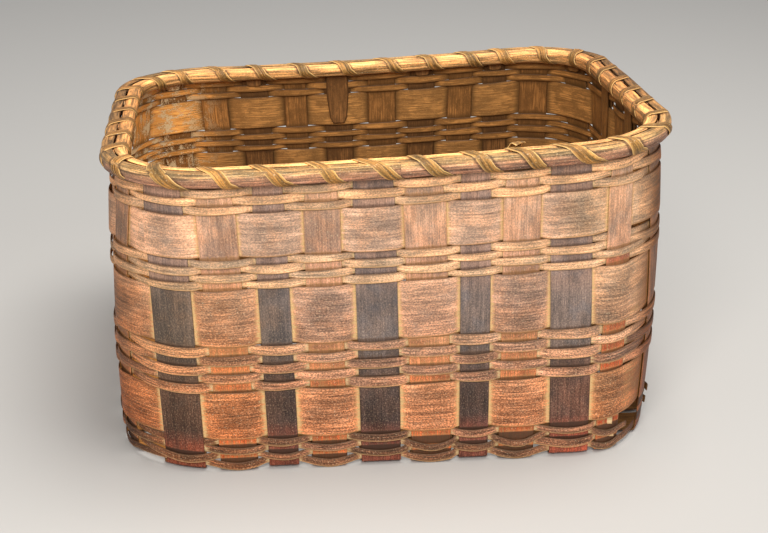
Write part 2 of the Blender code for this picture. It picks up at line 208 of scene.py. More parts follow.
@dataclass(frozen=True)
class StakePlan:
    """Where the stake ends stand round the wall, and how wide they are.

    Widths and shifts are shares of the spacing, with one line for each side in Side's order.
    """

    wall: Wall = Wall()
    cross: int = 10
    longs: int = 8
    long_fan: float = 0.95
    taper_start: float = 0.86
    cut_top: float = 0.88
    folded_top: float = 0.66
    widths: tuple[tuple[float, ...], ...] = (
        (0.87, 0.77, 0.62, 0.72, 0.83, 0.84, 0.61, 0.75, 0.85, 0.58),
        (0.74, 0.72, 0.75, 0.73, 0.71, 0.74, 0.72, 0.74),
        (0.72, 0.65, 0.70, 0.56, 0.68, 0.70, 0.68, 0.62, 0.62, 0.72),
        (0.60, 0.74, 0.70, 0.76, 0.74, 0.72, 0.75, 0.72),
    )
    shifts: tuple[tuple[float, ...], ...] = (
        (-0.14, -0.10, -0.061, -0.032, -0.028, -0.05, -0.024, -0.102, -0.157, -0.053),
        (0.02, -0.02, 0.03, 0.0, -0.03, 0.02, -0.02, 0.0),
        (-0.176, -0.146, -0.127, -0.114, -0.067, 0.05, 0.079, 0.076, -0.095, -0.08),
        (0.138, 0.02, 0.03, 0.0, -0.03, 0.02, -0.02, 0.0),
    )
    base_shifts: tuple[float, ...] = (
        0.09, 0.218, 0.142, 0.099, 0.176, 0.242, 0.126, 0.037, 0.189, 0.046
    )
    edge: float = 0.36

    @property
    def ends(self) -> int:
        """How many stake ends stand round the wall."""
        return 2 * (self.cross + self.longs)

    @property
    def pitch(self) -> float:
        """Even spacing of the stake ends at the rim."""
        return float(4 * self.wall.quarter(1.0)) / self.ends

    def lap(self, z: float) -> float:
        """The whole way round the wall at a height."""
        return 4 * float(self.wall.quarter(z))

    def end(self, side: Side, number: int) -> int:
        """The stake end of a splint on a side: the back and the left are counted backwards."""
        half = self.cross + self.longs
        starts = 0, self.cross, half + self.cross - 1, self.ends - 1
        return starts[side.value] + (number if side.value < 2 else -number)

    def side(self, end: int) -> tuple[Side, int]:
        """The side that a stake end is on, and its splint's number."""
        lap, rest = divmod(end % self.ends, self.cross + self.longs)
        side = Side(2 * lap + (rest >= self.cross))
        return side, abs(end % self.ends - self.end(side, 0))

    def rim_place(self, side: Side, number: int) -> float:
        """Place across the side at the rim, measured on the side's own axis."""
        shifts = self.shifts[side.value]
        half = self.wall.half_length if side in CROSS_SIDES else self.wall.half_width
        arc = self.pitch * (number - (len(shifts) - 1) / 2 + shifts[number])
        straight, radius = half - self.wall.rim_radius, self.wall.rim_radius
        if abs(arc) <= straight:
            return arc
        return math.copysign(straight + radius * math.sin((abs(arc) - straight) / radius), arc)

    def base_place(self, side: Side, number: int) -> float:
        """A splint's place in the base, the same at both its ends, before settling."""
        if side in CROSS_SIDES:
            return self.pitch * (number - (self.cross - 1) / 2 + self.base_shifts[number])
        return self.long_fan * self.rim_place(Side.RIGHT, number)

    def cross_width(self, number: int, y: float) -> float:
        """Width of a crosswise splint in the base, which changes evenly from end to end."""
        share = 0.5 + y / (2 * self.wall.half_width)
        front, back = (self.pitch * self.widths[side.value][number] for side in CROSS_SIDES)
        return front + (back - front) * share

    def arc(self, end: int, z: Array) -> Array:
        """Distance round the wall of a stake end's centre at a height.

        The place across the side moves evenly from base to rim. Past the straight it is the
        radius times the arc sine of the rest over the radius.
        """
        side, number = self.side(end)
        length, width, radius = self.wall.sizes(z)
        share = self.wall.share(z)
        rim, base = self.rim_place(side, number), self.base_place(side, number)
        place = base + (rim - base) * share
        straight = (length if side in CROSS_SIDES else width) - radius
        past = np.clip((np.abs(place) - straight) / radius, 0, 1)
        local = np.sign(place) * (np.minimum(np.abs(place), straight) + radius * np.arcsin(past))
        if side in (Side.BACK, Side.LEFT):
            local = -local
        return side.value * self.wall.quarter(z) + local

    def width(self, end: int, z: Array) -> Array:
        """Width of a stake end at a height, narrower towards the rim."""
        side, number = self.side(end)
        top = self.folded_top if end % 2 else self.cut_top
        past = np.maximum(self.wall.share(z) - self.taper_start, 0) / (1 - self.taper_start)
        return self.pitch * self.widths[side.value][number] * (1 + (top - 1) * past)

    def knots(self, z: float) -> tuple[Array, Array]:
        """Stake coordinates and distances round the wall of every stake edge at one height."""
        coordinates, arcs = [], []
        for end in range(-1, self.ends + 1):
            laps, turned = divmod(end, self.ends)
            centre = float(self.arc(turned, z)) + self.lap(z) * laps
            half = float(self.width(turned, z)) / 2
            coordinates += [end - self.edge, end + self.edge]
            arcs += [centre - half, centre + half]
        return np.array(coordinates), np.array(arcs)

    def arcs(self, coordinate: Array, z: float) -> Array:
        """Distance round the wall at stake coordinates, in straight steps between stake edges."""
        knots, arcs = self.knots(z)
        laps = np.floor(np.asarray(coordinate) / self.ends)
        return np.interp(coordinate - laps * self.ends, knots, arcs) + laps * self.lap(z)

    def samples(self, z: float, step: float) -> Array:
        """Stake coordinates once round, closer than a step apart everywhere."""
        knots, arcs = self.knots(z)
        pieces = []
        for start in range(2, 2 * self.ends + 2):
            count = max(5, math.ceil((arcs[start + 1] - arcs[start]) / step))
            pieces.append(np.linspace(knots[start], knots[start + 1], count, endpoint=False))
        return np.concatenate(pieces)


@dataclass(frozen=True)
class Row:
    """One weaver's place in the wall, its number from the base up and how far its blocks sag.

    Each drop is a stake coordinate, a reach in stake coordinates and a depth. A broken row has
    come away between two stake coordinates. A row is tucked behind the ends named as tucked,
    which it should cover. Tones name single blocks, counted from the front left, that are paler
    or darker than the rest.
    """

    name: str
    bottom: float
    top: float
    cover: Cover
    index: int = 0
    sag: float = 0.0
    drops: tuple[tuple[float, float, float], ...] = ()
    broken: tuple[float, float] | None = None
    tucked: tuple[int, ...] = ()
    tones: tuple[tuple[int, float], ...] = ()

    @property
    def wide(self) -> bool:
        """True for the three wide weavers."""
        return self.name.startswith("wide")


def row_table() -> list[Row]:
    """Every weaver from the base up, with the same heights as in the CAD model.

    A band without a name holds narrow weavers. The last row hides behind the rim.
    """
    first_bottom, gap, hidden_gap, hidden_height = 0.00485, 0.0005, 0.0013, 0.0059
    bands = (
        ("", 0.0055, (0.0034, 0.0026, 0.0022, 0.0016)),
        ("wide_weaver_low", 0.0399, (0.0,)),
        ("", 0.0070, (0.0007,) * 5),
        ("wide_weaver_middle", 0.0450, (0.0,)),
        ("", 0.0054, (0.0004,) * 4),
        ("wide_weaver_high", 0.0330, (0.0,)),
        ("", 0.0057, (0.0004,) * 3),
    )
    drops = {
        2: ((5.0, 0.64, 0.0042), (7.0, 0.64, 0.0042), (9.0, 0.6, 0.002)),
        3: ((8.0, 0.9, 0.0015),),
        14: ((9.9, 1.2, 0.0034), (1.0, 1.5, 0.0008)),
        13: ((9.9, 1.1, 0.0024),),
        18: ((10.2, 0.9, 0.0012), (4.0, 0.64, -0.0006)),
        16: ((10.0, 1.0, 0.0016), (2.0, 0.8, 0.0008), (6.0, 0.64, 0.0010)),
    }
    broken = {1: (9.22, 10.45), 2: (9.42, 10.72), 3: (9.12, 10.35)}
    tucked = {3: (0,), 14: (9,)}
    tones = {4: ((2, 1.4),), 10: ((2, 0.6), (3, -1.2)), 15: ((4, -0.6),)}
    rows, level, narrow = [], first_bottom, 1
    for band, height, sags in bands:
        for sag in sags:
            index = len(rows)
            name = band or f"narrow_weaver_{narrow:02d}"
            narrow += not band
            harm = drops.get(index, ()), broken.get(index), tucked.get(index, ())
            place = level, level + height, Cover((index + 1) % 2), index
            rows.append(Row(name, *place, sag, *harm, tones.get(index, ())))
            level += height + gap
    level += hidden_gap - gap
    name = f"narrow_weaver_{narrow:02d}"
    rows.append(Row(name, level, level + hidden_height, Cover.EVEN, len(rows)))
    return rows


@dataclass
class Surface:
    """A closed or open grid of points with its grain coordinates and named values.

    Rows run along the splint and columns run once round its section. A value is one number, or
    an array that spreads over the grid.
    """

    points: Array
    grain: Array
    values: dict[str, Array | float] = field(default_factory=dict)
    ring: bool = False

    def faces(self) -> tuple[Array, Array]:
        """Corner numbers of the four-sided faces, and the grid place of each corner's grain."""
        rows, columns = self.points.shape[:2]
        steps = np.arange(rows if self.ring else rows - 1)
        i, j = np.meshgrid(steps, np.arange(columns), indexing="ij")
        places = [(i, j), (i + 1, j), (i + 1, j + 1), (i, j + 1)]
        corners, grain = (
            np.stack([row % count * columns + column % columns for row, column in places], -1)
            for count in (rows, rows + 1)
        )
        return corners.reshape(-1, 4), grain.reshape(-1, 4)

    def caps(self) -> Array:
        """Faces that close both ends of an open splint, from its outer to its inner face."""
        rows, columns = self.points.shape[:2]
        j = np.arange(columns // 2 - 1)
        back = columns - 1 - j
        first = np.stack([j, j + 1, back - 1, back], -1)
        last = np.stack([j, back, back - 1, j + 1], -1) + (rows - 1) * columns
        return np.concatenate([first, last])

    def build(self, name: str) -> bpy.types.Object:
        """Make the mesh object, with its grain as a UV map and its values as attributes."""
        corners, grain = self.faces()
        if not self.ring:
            caps = self.caps()
            corners, grain = np.concatenate([corners, caps]), np.concatenate([grain, caps])
        mesh = bpy.data.meshes.new(name)
        mesh.vertices.add(self.points.size // 3)
        mesh.loops.add(corners.size)
        mesh.polygons.add(len(corners))
        for items, key, numbers, kind in (
            (mesh.vertices, "co", self.points, np.float32),
            (mesh.loops, "vertex_index", corners, np.int32),
            (mesh.polygons, "loop_start", np.arange(0, corners.size, 4), np.int32),
            (mesh.polygons, "loop_total", np.full(len(corners), 4), np.int32),
            (mesh.polygons, "use_smooth", np.ones(len(corners)), bool),
        ):
            items.foreach_set(key, numbers.astype(kind).ravel())
        mesh.update(calc_edges=True)
        uv = self.grain.reshape(-1, 2)[grain.ravel()]
        mesh.uv_layers.new(name="grain").data.foreach_set("uv", uv.astype(np.float32).ravel())
        for key, value in self.values.items():
            spread = np.broadcast_to(value, self.points.shape[:2]).astype(np.float32)
            mesh.attributes.new(key, "FLOAT", "POINT").data.foreach_set("value", spread.ravel())
        mesh.validate()
        item = bpy.data.objects.new(name, mesh)
        bpy.context.scene.collection.objects.link(item)
        return item


@dataclass(frozen=True)
class Section:
    """A splint's cross section: two faces with softened edges.

    It has a number of points on each face, a hump in the middle of its outer face and two
    grooves of a depth along that face, each between the middle and an edge.
    """

    thickness: float = 0.0009
    columns: int = 10
    hump: float = 0.0
    groove: float = 0.0
    groove_place: float = 0.42
    groove_width: float = 0.11
    crowding: float = 1.7
    edge_share: float = 0.45
    edge_width: float = 0.06

    def across(self) -> Array:
        """Shares of the width from one edge to the other, closer together near the edges."""
        t = np.linspace(-1, 1, self.columns)
        return 0.5 + 0.5 * np.sign(t) * (1 - (1 - np.abs(t)) ** self.crowding)

    def grooves(self, width: float) -> Array:
        """1 in the middle of both grooves: a bell of a width, in shares of half the splint's."""
        away = np.abs(2 * self.across() - 1) - self.groove_place
        return np.exp(-((away / width) ** 2))

    def offsets(self) -> tuple[Array, Array]:
        """Distances of both faces from the middle surface, thinner at the very edges."""
        edge = 1 - np.abs(2 * self.across() - 1)
        full = self.edge_share + (1 - self.edge_share) * smooth(edge / self.edge_width)
        half = self.thickness / 2 * full
        lift = self.hump * (1 - (2 * self.across() - 1) ** 2)
        return half + lift - self.groove * self.grooves(self.groove_width), -half + lift


def both(values: Array) -> Array:
    """The same values on both faces: across the outer one, and back over the inner one."""
    return np.concatenate([values, values[..., ::-1]], axis=-1)


def shell(mid: Array, section: Section, ring: bool) -> Array:
    """Give a middle surface its thickness along its own normals.

    The normal is the cross product of the directions along and across the splint.

    Args:
        mid: rows along the splint, columns across it.
        section: the cross section.
        ring: whether the last row meets the first.

    Returns:
        Points of the closed section in every row.
    """
    along = np.roll(mid, -1, 0) - np.roll(mid, 1, 0) if ring else np.gradient(mid, axis=0)
    normal = np.cross(along, np.gradient(mid, axis=1))
    normal /= np.linalg.norm(normal, axis=-1, keepdims=True) + 1e-12
    outer, inner = section.offsets()
    faces = mid + normal * outer[None, :, None], (mid + normal * inner[None, :, None])[:, ::-1]
    return np.concatenate(faces, axis=1)


def lengths(points: Array) -> Array:
    """Distance run along a line of points, starting at 0."""
    steps = np.linalg.norm(np.diff(points, axis=0), axis=-1)
    return np.concatenate([[0.0], np.cumsum(steps)])


def faces_of(columns: int) -> Array:
    """The face value of a section's points: outer for the first half, then inner."""
    return np.repeat([Face.OUTER.value, Face.INNER.value], columns)


def grain_grid(along: Array, across: Array, shift: float) -> Array:
    """Grain coordinates in metres for both faces, moved by a shift so that no two splints match."""
    u = np.broadcast_to(along[:, None], (len(along), across.shape[1]))
    return np.stack([both(u) + shift, both(across) + shift], -1)


@dataclass
class Weaver:
    """One ring round the wall, outside one stake end and inside the next.

    Its blocks are the stretches outside a stake end. Each block humps out by its own amount, but
    less on the right wall. Beside a break the splint stands off the wall.
    """

    plan: StakePlan
    row: Row
    seed: int
    thickness: float = 0.0008
    reach: float = 0.00115
    step_room: float = 0.05
    humps: tuple[float, float] = (0.0009, 0.0017)
    dent: float = 0.0008
    flat_middle: float = 13.5
    flat_reach: float = 4.2
    flat_share: float = 0.25
    loose_reach: float = 0.45
    loose_out: float = 0.0032
    bow: float = 0.0002
    gold_start: float = 9.22
    gold_stop: float = 9.7

    @property
    def columns(self) -> int:
        """Points across each face."""
        return 12 if self.row.wide else 7

    def nearness(self, coordinate: Array) -> Array:
        """0 beside the middle of a stake end that it passes outside of, 1 at the next stake end."""
        return np.abs((coordinate - self.row.cover.value + 1) % 2 - 1)

    def offset(self, coordinate: Array) -> Array:
        """Distance outwards: level beside stakes, a quarter cosine in gaps, a hump per block."""
        plan, near = self.plan, self.nearness(coordinate)
        edge = plan.edge - self.step_room
        step = np.clip((np.minimum(near, 1 - near) - edge) / (0.5 - edge), 0, 1)
        level = np.where(near < 0.5, 1, -1) * np.cos(np.pi / 2 * step)
        count, spot = plan.ends // 2, coordinate % plan.ends
        blocks = np.round((coordinate - self.row.cover.value) / 2).astype(int) % count
        humps = np.random.default_rng(self.seed).uniform(0.6, 1.4, count)[blocks]
        humps = humps * self.humps[self.row.wide]
        flat = np.abs(spot - self.flat_middle) < self.flat_reach
        humps = humps * np.where(flat, self.flat_share, 1)
        reach = 1 - plan.edge
        out, dent = humps * swell(near / reach), self.dent * swell((1 - near) / reach)
        for end in self.row.tucked:
            tuck = np.abs((coordinate - end + count) % plan.ends - count) < 1
            level, out = np.where(tuck, -1.0, level), np.where(tuck, 0.0, out)
        if self.row.broken:
            low, high = (np.abs(spot - place) for place in self.row.broken)
            loose = np.clip(1 - np.minimum(low, high) / self.loose_reach, 0, 1) ** 2
            level, out = level * (1 - loose), out + loose * self.loose_out
        return self.reach * level + out - dent

    def edges(self, coordinate: Array) -> tuple[Array, Array]:
        """Bottom and top of the splint round the wall.

        Neighbours share the wobble of the line between them. Each narrow block sags a little.
        """
        row, ends = self.row, self.plan.ends
        low, high = (0.0005 * wobble(coordinate, ends, 400 + row.index + i, 18) for i in (0, 1))
        own = 0.00018 * wobble(coordinate, ends, self.seed + 50, 30)
        sag = row.sag * swell(self.nearness(coordinate) / (1 - self.plan.edge))
        for place, spread, depth in row.drops:
            sag = sag + depth * swell(np.abs(coordinate % ends - place) / spread)
        reach = 0.0 if row.wide else 0.0004
        return row.bottom + low - reach - sag, row.top + high + own + reach - sag

    def bareness(self, coordinate: Array, face: Face) -> Array:
        """Distance from a block's end on one face, in shares of the end scale, at most 1.

        The two lower wide weavers are bare over a whole stretch near the front right corner.
        """
        z = (self.row.bottom + self.row.top) / 2
        first = self.row.cover.value + face.value
        centre = 2 * np.round((coordinate - first) / 2) + first
        reach = 1 - self.plan.edge
        here = self.plan.arcs(coordinate, z)
        ends = [np.abs(here - self.plan.arcs(centre + side * reach, z)) for side in (-1, 1)]
        bare = np.clip(np.minimum(*ends) / END_SCALE, 0, 1)
        if self.row.name in ("wide_weaver_low", "wide_weaver_middle"):
            spot = coordinate % self.plan.ends
            gold = smooth((spot - self.gold_start) / 0.2) * (spot < self.gold_stop)
            bare = np.maximum(bare * (1 - 0.7 * gold), 0.28 * gold)
        return np.where(np.abs(coordinate - centre) > reach, 0, bare)

    def middle(self, coordinate: Array, shares: Array) -> Array:
        """1 in the middle of each outer block and 0 at its ends and edges: two cosines' product."""
        near = np.clip(self.nearness(coordinate) / (1 - self.plan.edge), 0, 1)
        return np.cos(np.pi / 2 * near)[:, None] * np.sin(np.pi * shares)[None, :] ** 0.5

    def mid(self, coordinate: Array, shares: Array) -> tuple[Array, Array]:
        """Middle surface, and the height of each of its points before settling."""
        bottom, top = self.edges(coordinate)
        out = self.offset(coordinate)
        heights = bottom[:, None] + shares[None, :] * (top - bottom)[:, None]
        middle = []
        for share, z in zip(shares, heights.T):
            level = self.row.bottom + share * (self.row.top - self.row.bottom)
            middle.append(self.plan.wall.point(self.plan.arcs(coordinate, level), z, out))
        return np.stack(middle, 1), heights

    def build(self) -> bpy.types.Object:
        """Make the ring."""
        plan, row = self.plan, self.row
        section = Section(self.thickness, self.columns, 0.0 if row.wide else self.bow)
        coordinate = plan.samples(row.bottom, 0.0035 if row.wide else 0.003)
        ring = row.broken is None
        if not ring:
            coordinate = np.concatenate([coordinate, coordinate + plan.ends])
            inside = (coordinate > row.broken[1]) & (coordinate < row.broken[0] + plan.ends)
            coordinate = coordinate[inside]
        mid, z = self.mid(coordinate, section.across())
        along = plan.arcs(coordinate, row.bottom)
        across = z - z.mean(1, keepdims=True)
        if ring:
            along = np.append(along, along[0] + plan.lap(row.bottom))
            across = np.vstack([across, across[:1]])
        count = plan.ends // 2
        tones = np.random.default_rng(self.seed + 7).uniform(-1, 1, count)
        for block, tone in row.tones:
            tones[block] = tone
        blocks = np.floor((coordinate - row.cover.value + 1) / 2).astype(int) % count
        height = row.top - row.bottom
        above = (1 - section.across()) * height
        side = np.minimum(section.across() * height, above + 0.0008)
        bare = np.stack([self.bareness(coordinate, face) for face in Face], -1)
        values = {
            "inner": faces_of(self.columns),
            "end_gap": np.repeat(bare, self.columns, axis=1),
            "side_gap": both(np.clip(side / SIDE_SCALE, 0, 1)),
            # Painted shadow: a dark line along the upper edge, under the row above.
            "groove": both(1.1 * np.exp(-((above / 0.0008) ** 2))),
            "middle": both(self.middle(coordinate, section.across())),
            "tone": tones[blocks][:, None],
        }
        grain = grain_grid(along, across, GRAIN_STEP * self.seed)
        return Surface(shell(mid, section, ring), grain, values, ring).build(f"{row.name}_splint")


@dataclass
class Stake:
    """One splint that runs up a wall, across the base and up the opposite wall."""

    plan: StakePlan
    rows: list[Row]
    name: str
    first: int
    second: int
    crossing: bool
    seed: int
    thickness: float = 0.0010
    fold: float = 0.0025
    turn: float = 0.00125
    weave: float = 0.00125
    columns: int = 10
    fold_steps: int = 8
    tail_steps: int = 39

    def climb(self, end: int) -> tuple[Array, Array, Array]:
        """Heights, distances outwards and width shares up the wall from the fold to the end.

        A folded end makes a half circle over the hidden row, and its tail narrows as it goes
        down inside.
        """
        wall, seed = self.plan.wall, self.seed + end
        start = wall.floor + self.fold
        if end % 2 == 0:
            z = np.linspace(start, wall.top - 0.0016, 120)
            return z, 0.00012 * wobble(z, 0.3, seed, 9), np.ones_like(z)
        up = np.linspace(start, self.rows[-1].top - 0.0004, 118)
        angle = np.linspace(0, np.pi, self.fold_steps + 1)[1:]
        low = TAILS.get(end, TAIL_LOW)
        down = np.linspace(up[-1], low, self.tail_steps + 1)[1:]
        z = np.concatenate([up, up[-1] + self.turn * np.sin(angle), down])
        share = (up[-1] - down) / (up[-1] - low)
        out = np.concatenate([
            0.00012 * wobble(up, 0.3, seed, 9),
            -self.turn * (1 - np.cos(angle)),
            -2 * self.turn - 0.0006 * share**2,
        ])
        narrow = 1 - 0.42 * share - 0.16 * smooth((share - 0.88) / 0.12)
        return z, out, np.concatenate([np.ones(len(up) + len(angle)), narrow])

    def wall_part(self, end: int, sign: int, shares: Array) -> Array:
        """Middle surface up one wall, from the fold to the end."""
        z, out, narrow = self.climb(end)
        centre, width = self.plan.arc(end, z), self.plan.width(end, z) * narrow
        arc = centre[:, None] + sign * (shares[None, :] - 0.5) * width[:, None]
        return self.plan.wall.point(arc, z[:, None], out[:, None])

    def fold_part(self, foot: Array, inward: Array, target: Array) -> Array:
        """Quarter circle from the foot of the wall down to the base, for each column.

        Args:
            foot: points at the wall's lowest row.
            inward: unit direction towards the basket's middle.
            target: the columns' places across the splint in the base.
        """
        angle = np.linspace(0, np.pi / 2, 9)[1:, None, None]
        down = np.array([0.0, 0.0, 1.0])
        points = foot[None] + self.fold * ((1 - np.cos(angle)) * inward - np.sin(angle) * down)
        axis = 0 if self.crossing else 1
        blend = smooth(angle[:, :, 0] / (np.pi / 2))
        points[:, :, axis] += blend * (target - foot[:, axis])[None]
        return points

    def level(self, along: Array) -> Array:
        """Height in the base: crosswise splints lie level, lengthwise ones go over and under.

        It is up or down one splint's thickness beside each crossing, and a half sine between.
        """
        floor = self.plan.wall.floor
        if self.crossing:
            return np.full_like(along, floor)
        number = self.plan.side(self.first)[1]
        knots, sides = [-0.2], [0.0]
        for cross in range(self.plan.cross):
            centre = self.plan.base_place(Side.FRONT, cross) + self.plan.wall.lean
            half = self.plan.cross_width(cross, self.plan.base_place(Side.LEFT, number)) / 2
            knots += [centre - half, centre + half]
            sides += [1.0 if (cross + number) % 2 else -1.0] * 2
        swing = np.sin(np.pi / 2 * np.interp(along, knots + [0.2], sides + [0.0]))
        return floor + self.weave * swing

    def mid(self, shares: Array) -> Array:
        """Middle surface from the first end's tip to the second end's tip."""
        axis, run, sign = (0, 1, 1) if self.crossing else (1, 0, -1)
        walls, folds, targets = [], [], []
        for end, way in ((self.first, 1), (self.second, -1)):
            side, number = self.plan.side(end)
            width = float(self.plan.width(end, 0.0))
            lean = self.plan.wall.lean if self.crossing else 0.0
            place = self.plan.base_place(side, number) + lean
            inward = np.zeros(3)
            inward[run] = way
            walls.append(self.wall_part(end, way, shares))
            targets.append(place + sign * (shares - 0.5) * width)
            folds.append(self.fold_part(walls[-1][0], inward, targets[-1]))
        share = np.linspace(0, 1, 110 if self.crossing else 150)[1:-1, None, None]
        base = folds[0][-1] * (1 - share) + folds[1][-1] * share
        base[:, :, axis] = targets[0] * (1 - share[:, :, 0]) + targets[1] * share[:, :, 0]
        base[:, :, 2] = self.level(base[:, :, run])
        return np.concatenate([walls[0][::-1], folds[0], base, folds[1][::-1], walls[1]])

    def gaps(self, count: int, face: Face) -> tuple[Array, Array, Array]:
        """How near the rows are that hide it, up the splint.

        Args:
            count: how many points the whole splint has along it.
            face: the face that is looked at.

        Returns:
            Distance to the next such row in shares of the end scale, a tone for each stretch
            between rows, and 1 on a tail.
        """
        first, second = (self.climb(end)[0] for end in (self.first, self.second))
        z = np.concatenate([first[::-1], np.zeros(count - len(first) - len(second)), second])
        gap, tone, tail = np.ones(count), np.zeros(count), np.zeros(count)
        rng = np.random.default_rng(self.seed + 3)
        bent, half = self.fold_steps + self.tail_steps, count // 2
        for end, part, tip in (
            (self.first, slice(0, half), slice(0, bent)),
            (self.second, slice(half, count), slice(-bent, None)),
        ):
            tail[tip] = end % 2
            parity = (end + face.value) % 2
            hiding = [r for r in self.rows if r.cover.value == parity and end not in r.tucked]
            edges = np.array([[row.bottom, row.top] for row in hiding])
            height = z[part]
            inside = ((height[:, None] > edges[:, 0]) & (height[:, None] < edges[:, 1])).any(1)
            nearest = np.abs(height[:, None] - edges.reshape(1, -1)).min(1)
            gap[part] = np.where(inside, 0, np.clip(nearest / END_SCALE, 0, 1))
            tone[part] = rng.uniform(-1, 1, 40)[np.searchsorted(np.sort(edges[:, 0]), height)]
        return np.where(tail > 0, 1.0, gap), tone, tail

    def build(self) -> bpy.types.Object:
        """Make the splint."""
        section = Section(self.thickness, self.columns)
        shares = section.across()
        mid = self.mid(shares)
        (gap, tone, tail), (inner_gap, _, _) = (self.gaps(len(mid), face) for face in Face)
        wide = np.linalg.norm(mid[:, -1] - mid[:, 0], axis=-1)[:, None]
        side = np.minimum(shares, 1 - shares)[None, :] * wide
        values = {
            "inner": np.maximum(faces_of(self.columns), tail[:, None]),
            "end_gap": np.repeat(np.stack([gap, inner_gap], -1), self.columns, axis=1),
            "side_gap": both(np.clip(side / SIDE_SCALE, 0, 1)),
            "tone": tone[:, None],
        }
        along = lengths(mid[:, len(shares) // 2])
        grain = grain_grid(along, (shares[None, :] - 0.5) * wide, GRAIN_STEP * self.seed)
        return Surface(shell(mid, section, False), grain, values).build(f"{self.name}_splint")


@dataclass
class Rim:
    """The two hoops and the lashing that winds round them.

    The lashing starts at a stake coordinate between two stakes and makes one turn per stake end.
    """

    plan: StakePlan
    bottom: float = 0.22935
    top: float = 0.24115
    outer_face: float = 0.0019
    inner_face: float = -0.0034
    depth: float = 0.0075
    drop: float = 0.0004
    ceiling: float = 0.26425
    hoop_rows: int = 1600
    hoop_columns: int = 40
    corner_power: float = 0.78
    wall_power: float = 0.32
    lash_width: float = 0.0088
    lash_start: float = 6.5
    lash_steps: int = 44
    loose_end: float = 0.44
    lash: Section = Section(0.0005, 13, 0.0004, 0.00025)

    @property
    def level(self) -> float:
        """The hoops' middle height."""
        return (self.bottom + self.top) / 2

    def place(self, arc: Array, out: Array, z: Array) -> Array:
        """Points beside the rim, whose plan is taken at the hoops' middle height.

        Nothing stands higher than the ceiling, which the highest corner just reaches.
        """
        x, y, nx, ny = self.plan.wall.frame(arc, self.level)
        points = self.plan.wall.settle(x + out * nx, y + out * ny, z - self.drop)
        points[..., 2] = np.minimum(points[..., 2], self.ceiling)
        return points

    def hoop(self, name: str, face: float, sign: int, seed: int) -> bpy.types.Object:
        """One hoop: a section between an ellipse and a rectangle, with fine ridges along it.

        The section is the cosine and sine, each raised to a power under one, times half its size.
        Its upper edge is cut back towards the wall.

        Args:
            name: the piece's name.
            face: distance outwards of its face on the wall.
            sign: 1 for the outer hoop and -1 for the inner one.
            seed: which noises shape it.
        """
        lap, rows, columns = self.plan.lap(self.level), self.hoop_rows, self.hoop_columns
        arc = np.linspace(0, lap, rows, endpoint=False)[:, None]
        angle = np.linspace(0, 2 * np.pi, columns, endpoint=False)[None, :]
        cos, sin = np.cos(angle), np.sin(angle)
        turn, size, lip_stray, out_stray, z_stray, tone = (
            wobble(arc, lap, seed + shift, waves)
            for shift, waves in ((0, 9), (2, 24), (9, 40), (4, 12), (5, 14), (6, 30))
        )
        ridge = 0.00018 * wobble(angle + 0.25 * turn, 2 * np.pi, seed + 1, 9)
        grow = 0.985 + 0.03 * size
        power = np.where(sign * cos < 0, self.wall_power, self.corner_power)
        dx = np.sign(cos) * np.abs(cos) ** power
        dz = np.sign(sin) * np.abs(sin) ** self.corner_power
        out = face + sign * self.depth / 2 + dx * (self.depth / 2 * grow + ridge)
        lip = smooth((dz - 0.80) / 0.08) * smooth(0.6 - sign * cos)
        out = out - sign * lip * (0.0023 if sign > 0 else 0.0028) * (1 + 0.15 * lip_stray)
        out = out + 0.0002 * out_stray
        z = self.level + dz * ((self.top - self.bottom) / 2 * grow + ridge)
        z = np.minimum(z + 0.0001 * z_stray, self.top + 0.0002)
        along = np.append(arc[:, 0], lap)
        around = np.broadcast_to(angle * 0.006, (len(along), columns))
        grain = np.stack([np.broadcast_to(along[:, None], around.shape) + seed, around + seed], -1)
        values = {
            # Painted shade and light: the level ramp is darkest under the hoops, and the inner hoop
            # gets high levels and a tone raised by 2.2, which brighten its face.
            "level": 0.45 + 0.42 * sin if sign > 0 else np.clip(0.95 + 0.2 * sin, 0, 1),
            "end_gap": 1.0,
            "side_gap": 1.0,
            # Painted shadow on the hoop beside each turn of the lashing.
            "groove": self.lash_shadow(arc, out, z),
            "tone": 0.6 * tone + (0 if sign > 0 else 2.2),
        }
        return Surface(self.place(arc, out, z), grain, values, True).build(name)

    def loop(self) -> tuple[Array, Array, Array]:
        """The lashing's way round both hoops: a closed smooth curve through a few points.

        Between two points the curve is a cubic, whose slope at each point is half the step
        between its neighbours. It starts in the wall under the hoops, goes up inside, over the
        top and down outside.

        Returns:
            Distance round the section, distance outwards and height at each of its points.
        """
        low, high = self.bottom - 0.0009, self.top + 0.0002
        sides = []
        for face, way in ((self.inner_face, -1), (self.outer_face, 1)):
            far = face + way * self.depth
            sides.append([
                (face + way * 0.003, low + 0.0001), (far - way * 0.0012, low + 0.0024),
                (far + way * 0.0005, low + 0.0062), (far - way * 0.0008, high - 0.0026),
                (far - way * 0.0036, high - 0.0002), (face, high + 0.0001),
            ])
        knots = np.array([(0.0, low), *sides[0], *sides[1][::-1]])
        t = np.linspace(0, 1, 24, endpoint=False)[None, :, None]
        before, here, after, later = (np.roll(knots, shift, 0)[:, None] for shift in (1, 0, -1, -2))
        curve = 0.5 * (
            2 * here + (after - before) * t + (2 * before - 5 * here + 4 * after - later) * t**2
            + (3 * here - before - 3 * after + later) * t**3
        )
        curve = curve.reshape(-1, 2)
        curve = np.vstack([curve, curve[:1]])
        run = lengths(curve)
        even = np.linspace(0, run[-1], 200)
        return even, np.interp(even, run, curve[:, 0]), np.interp(even, run, curve[:, 1])

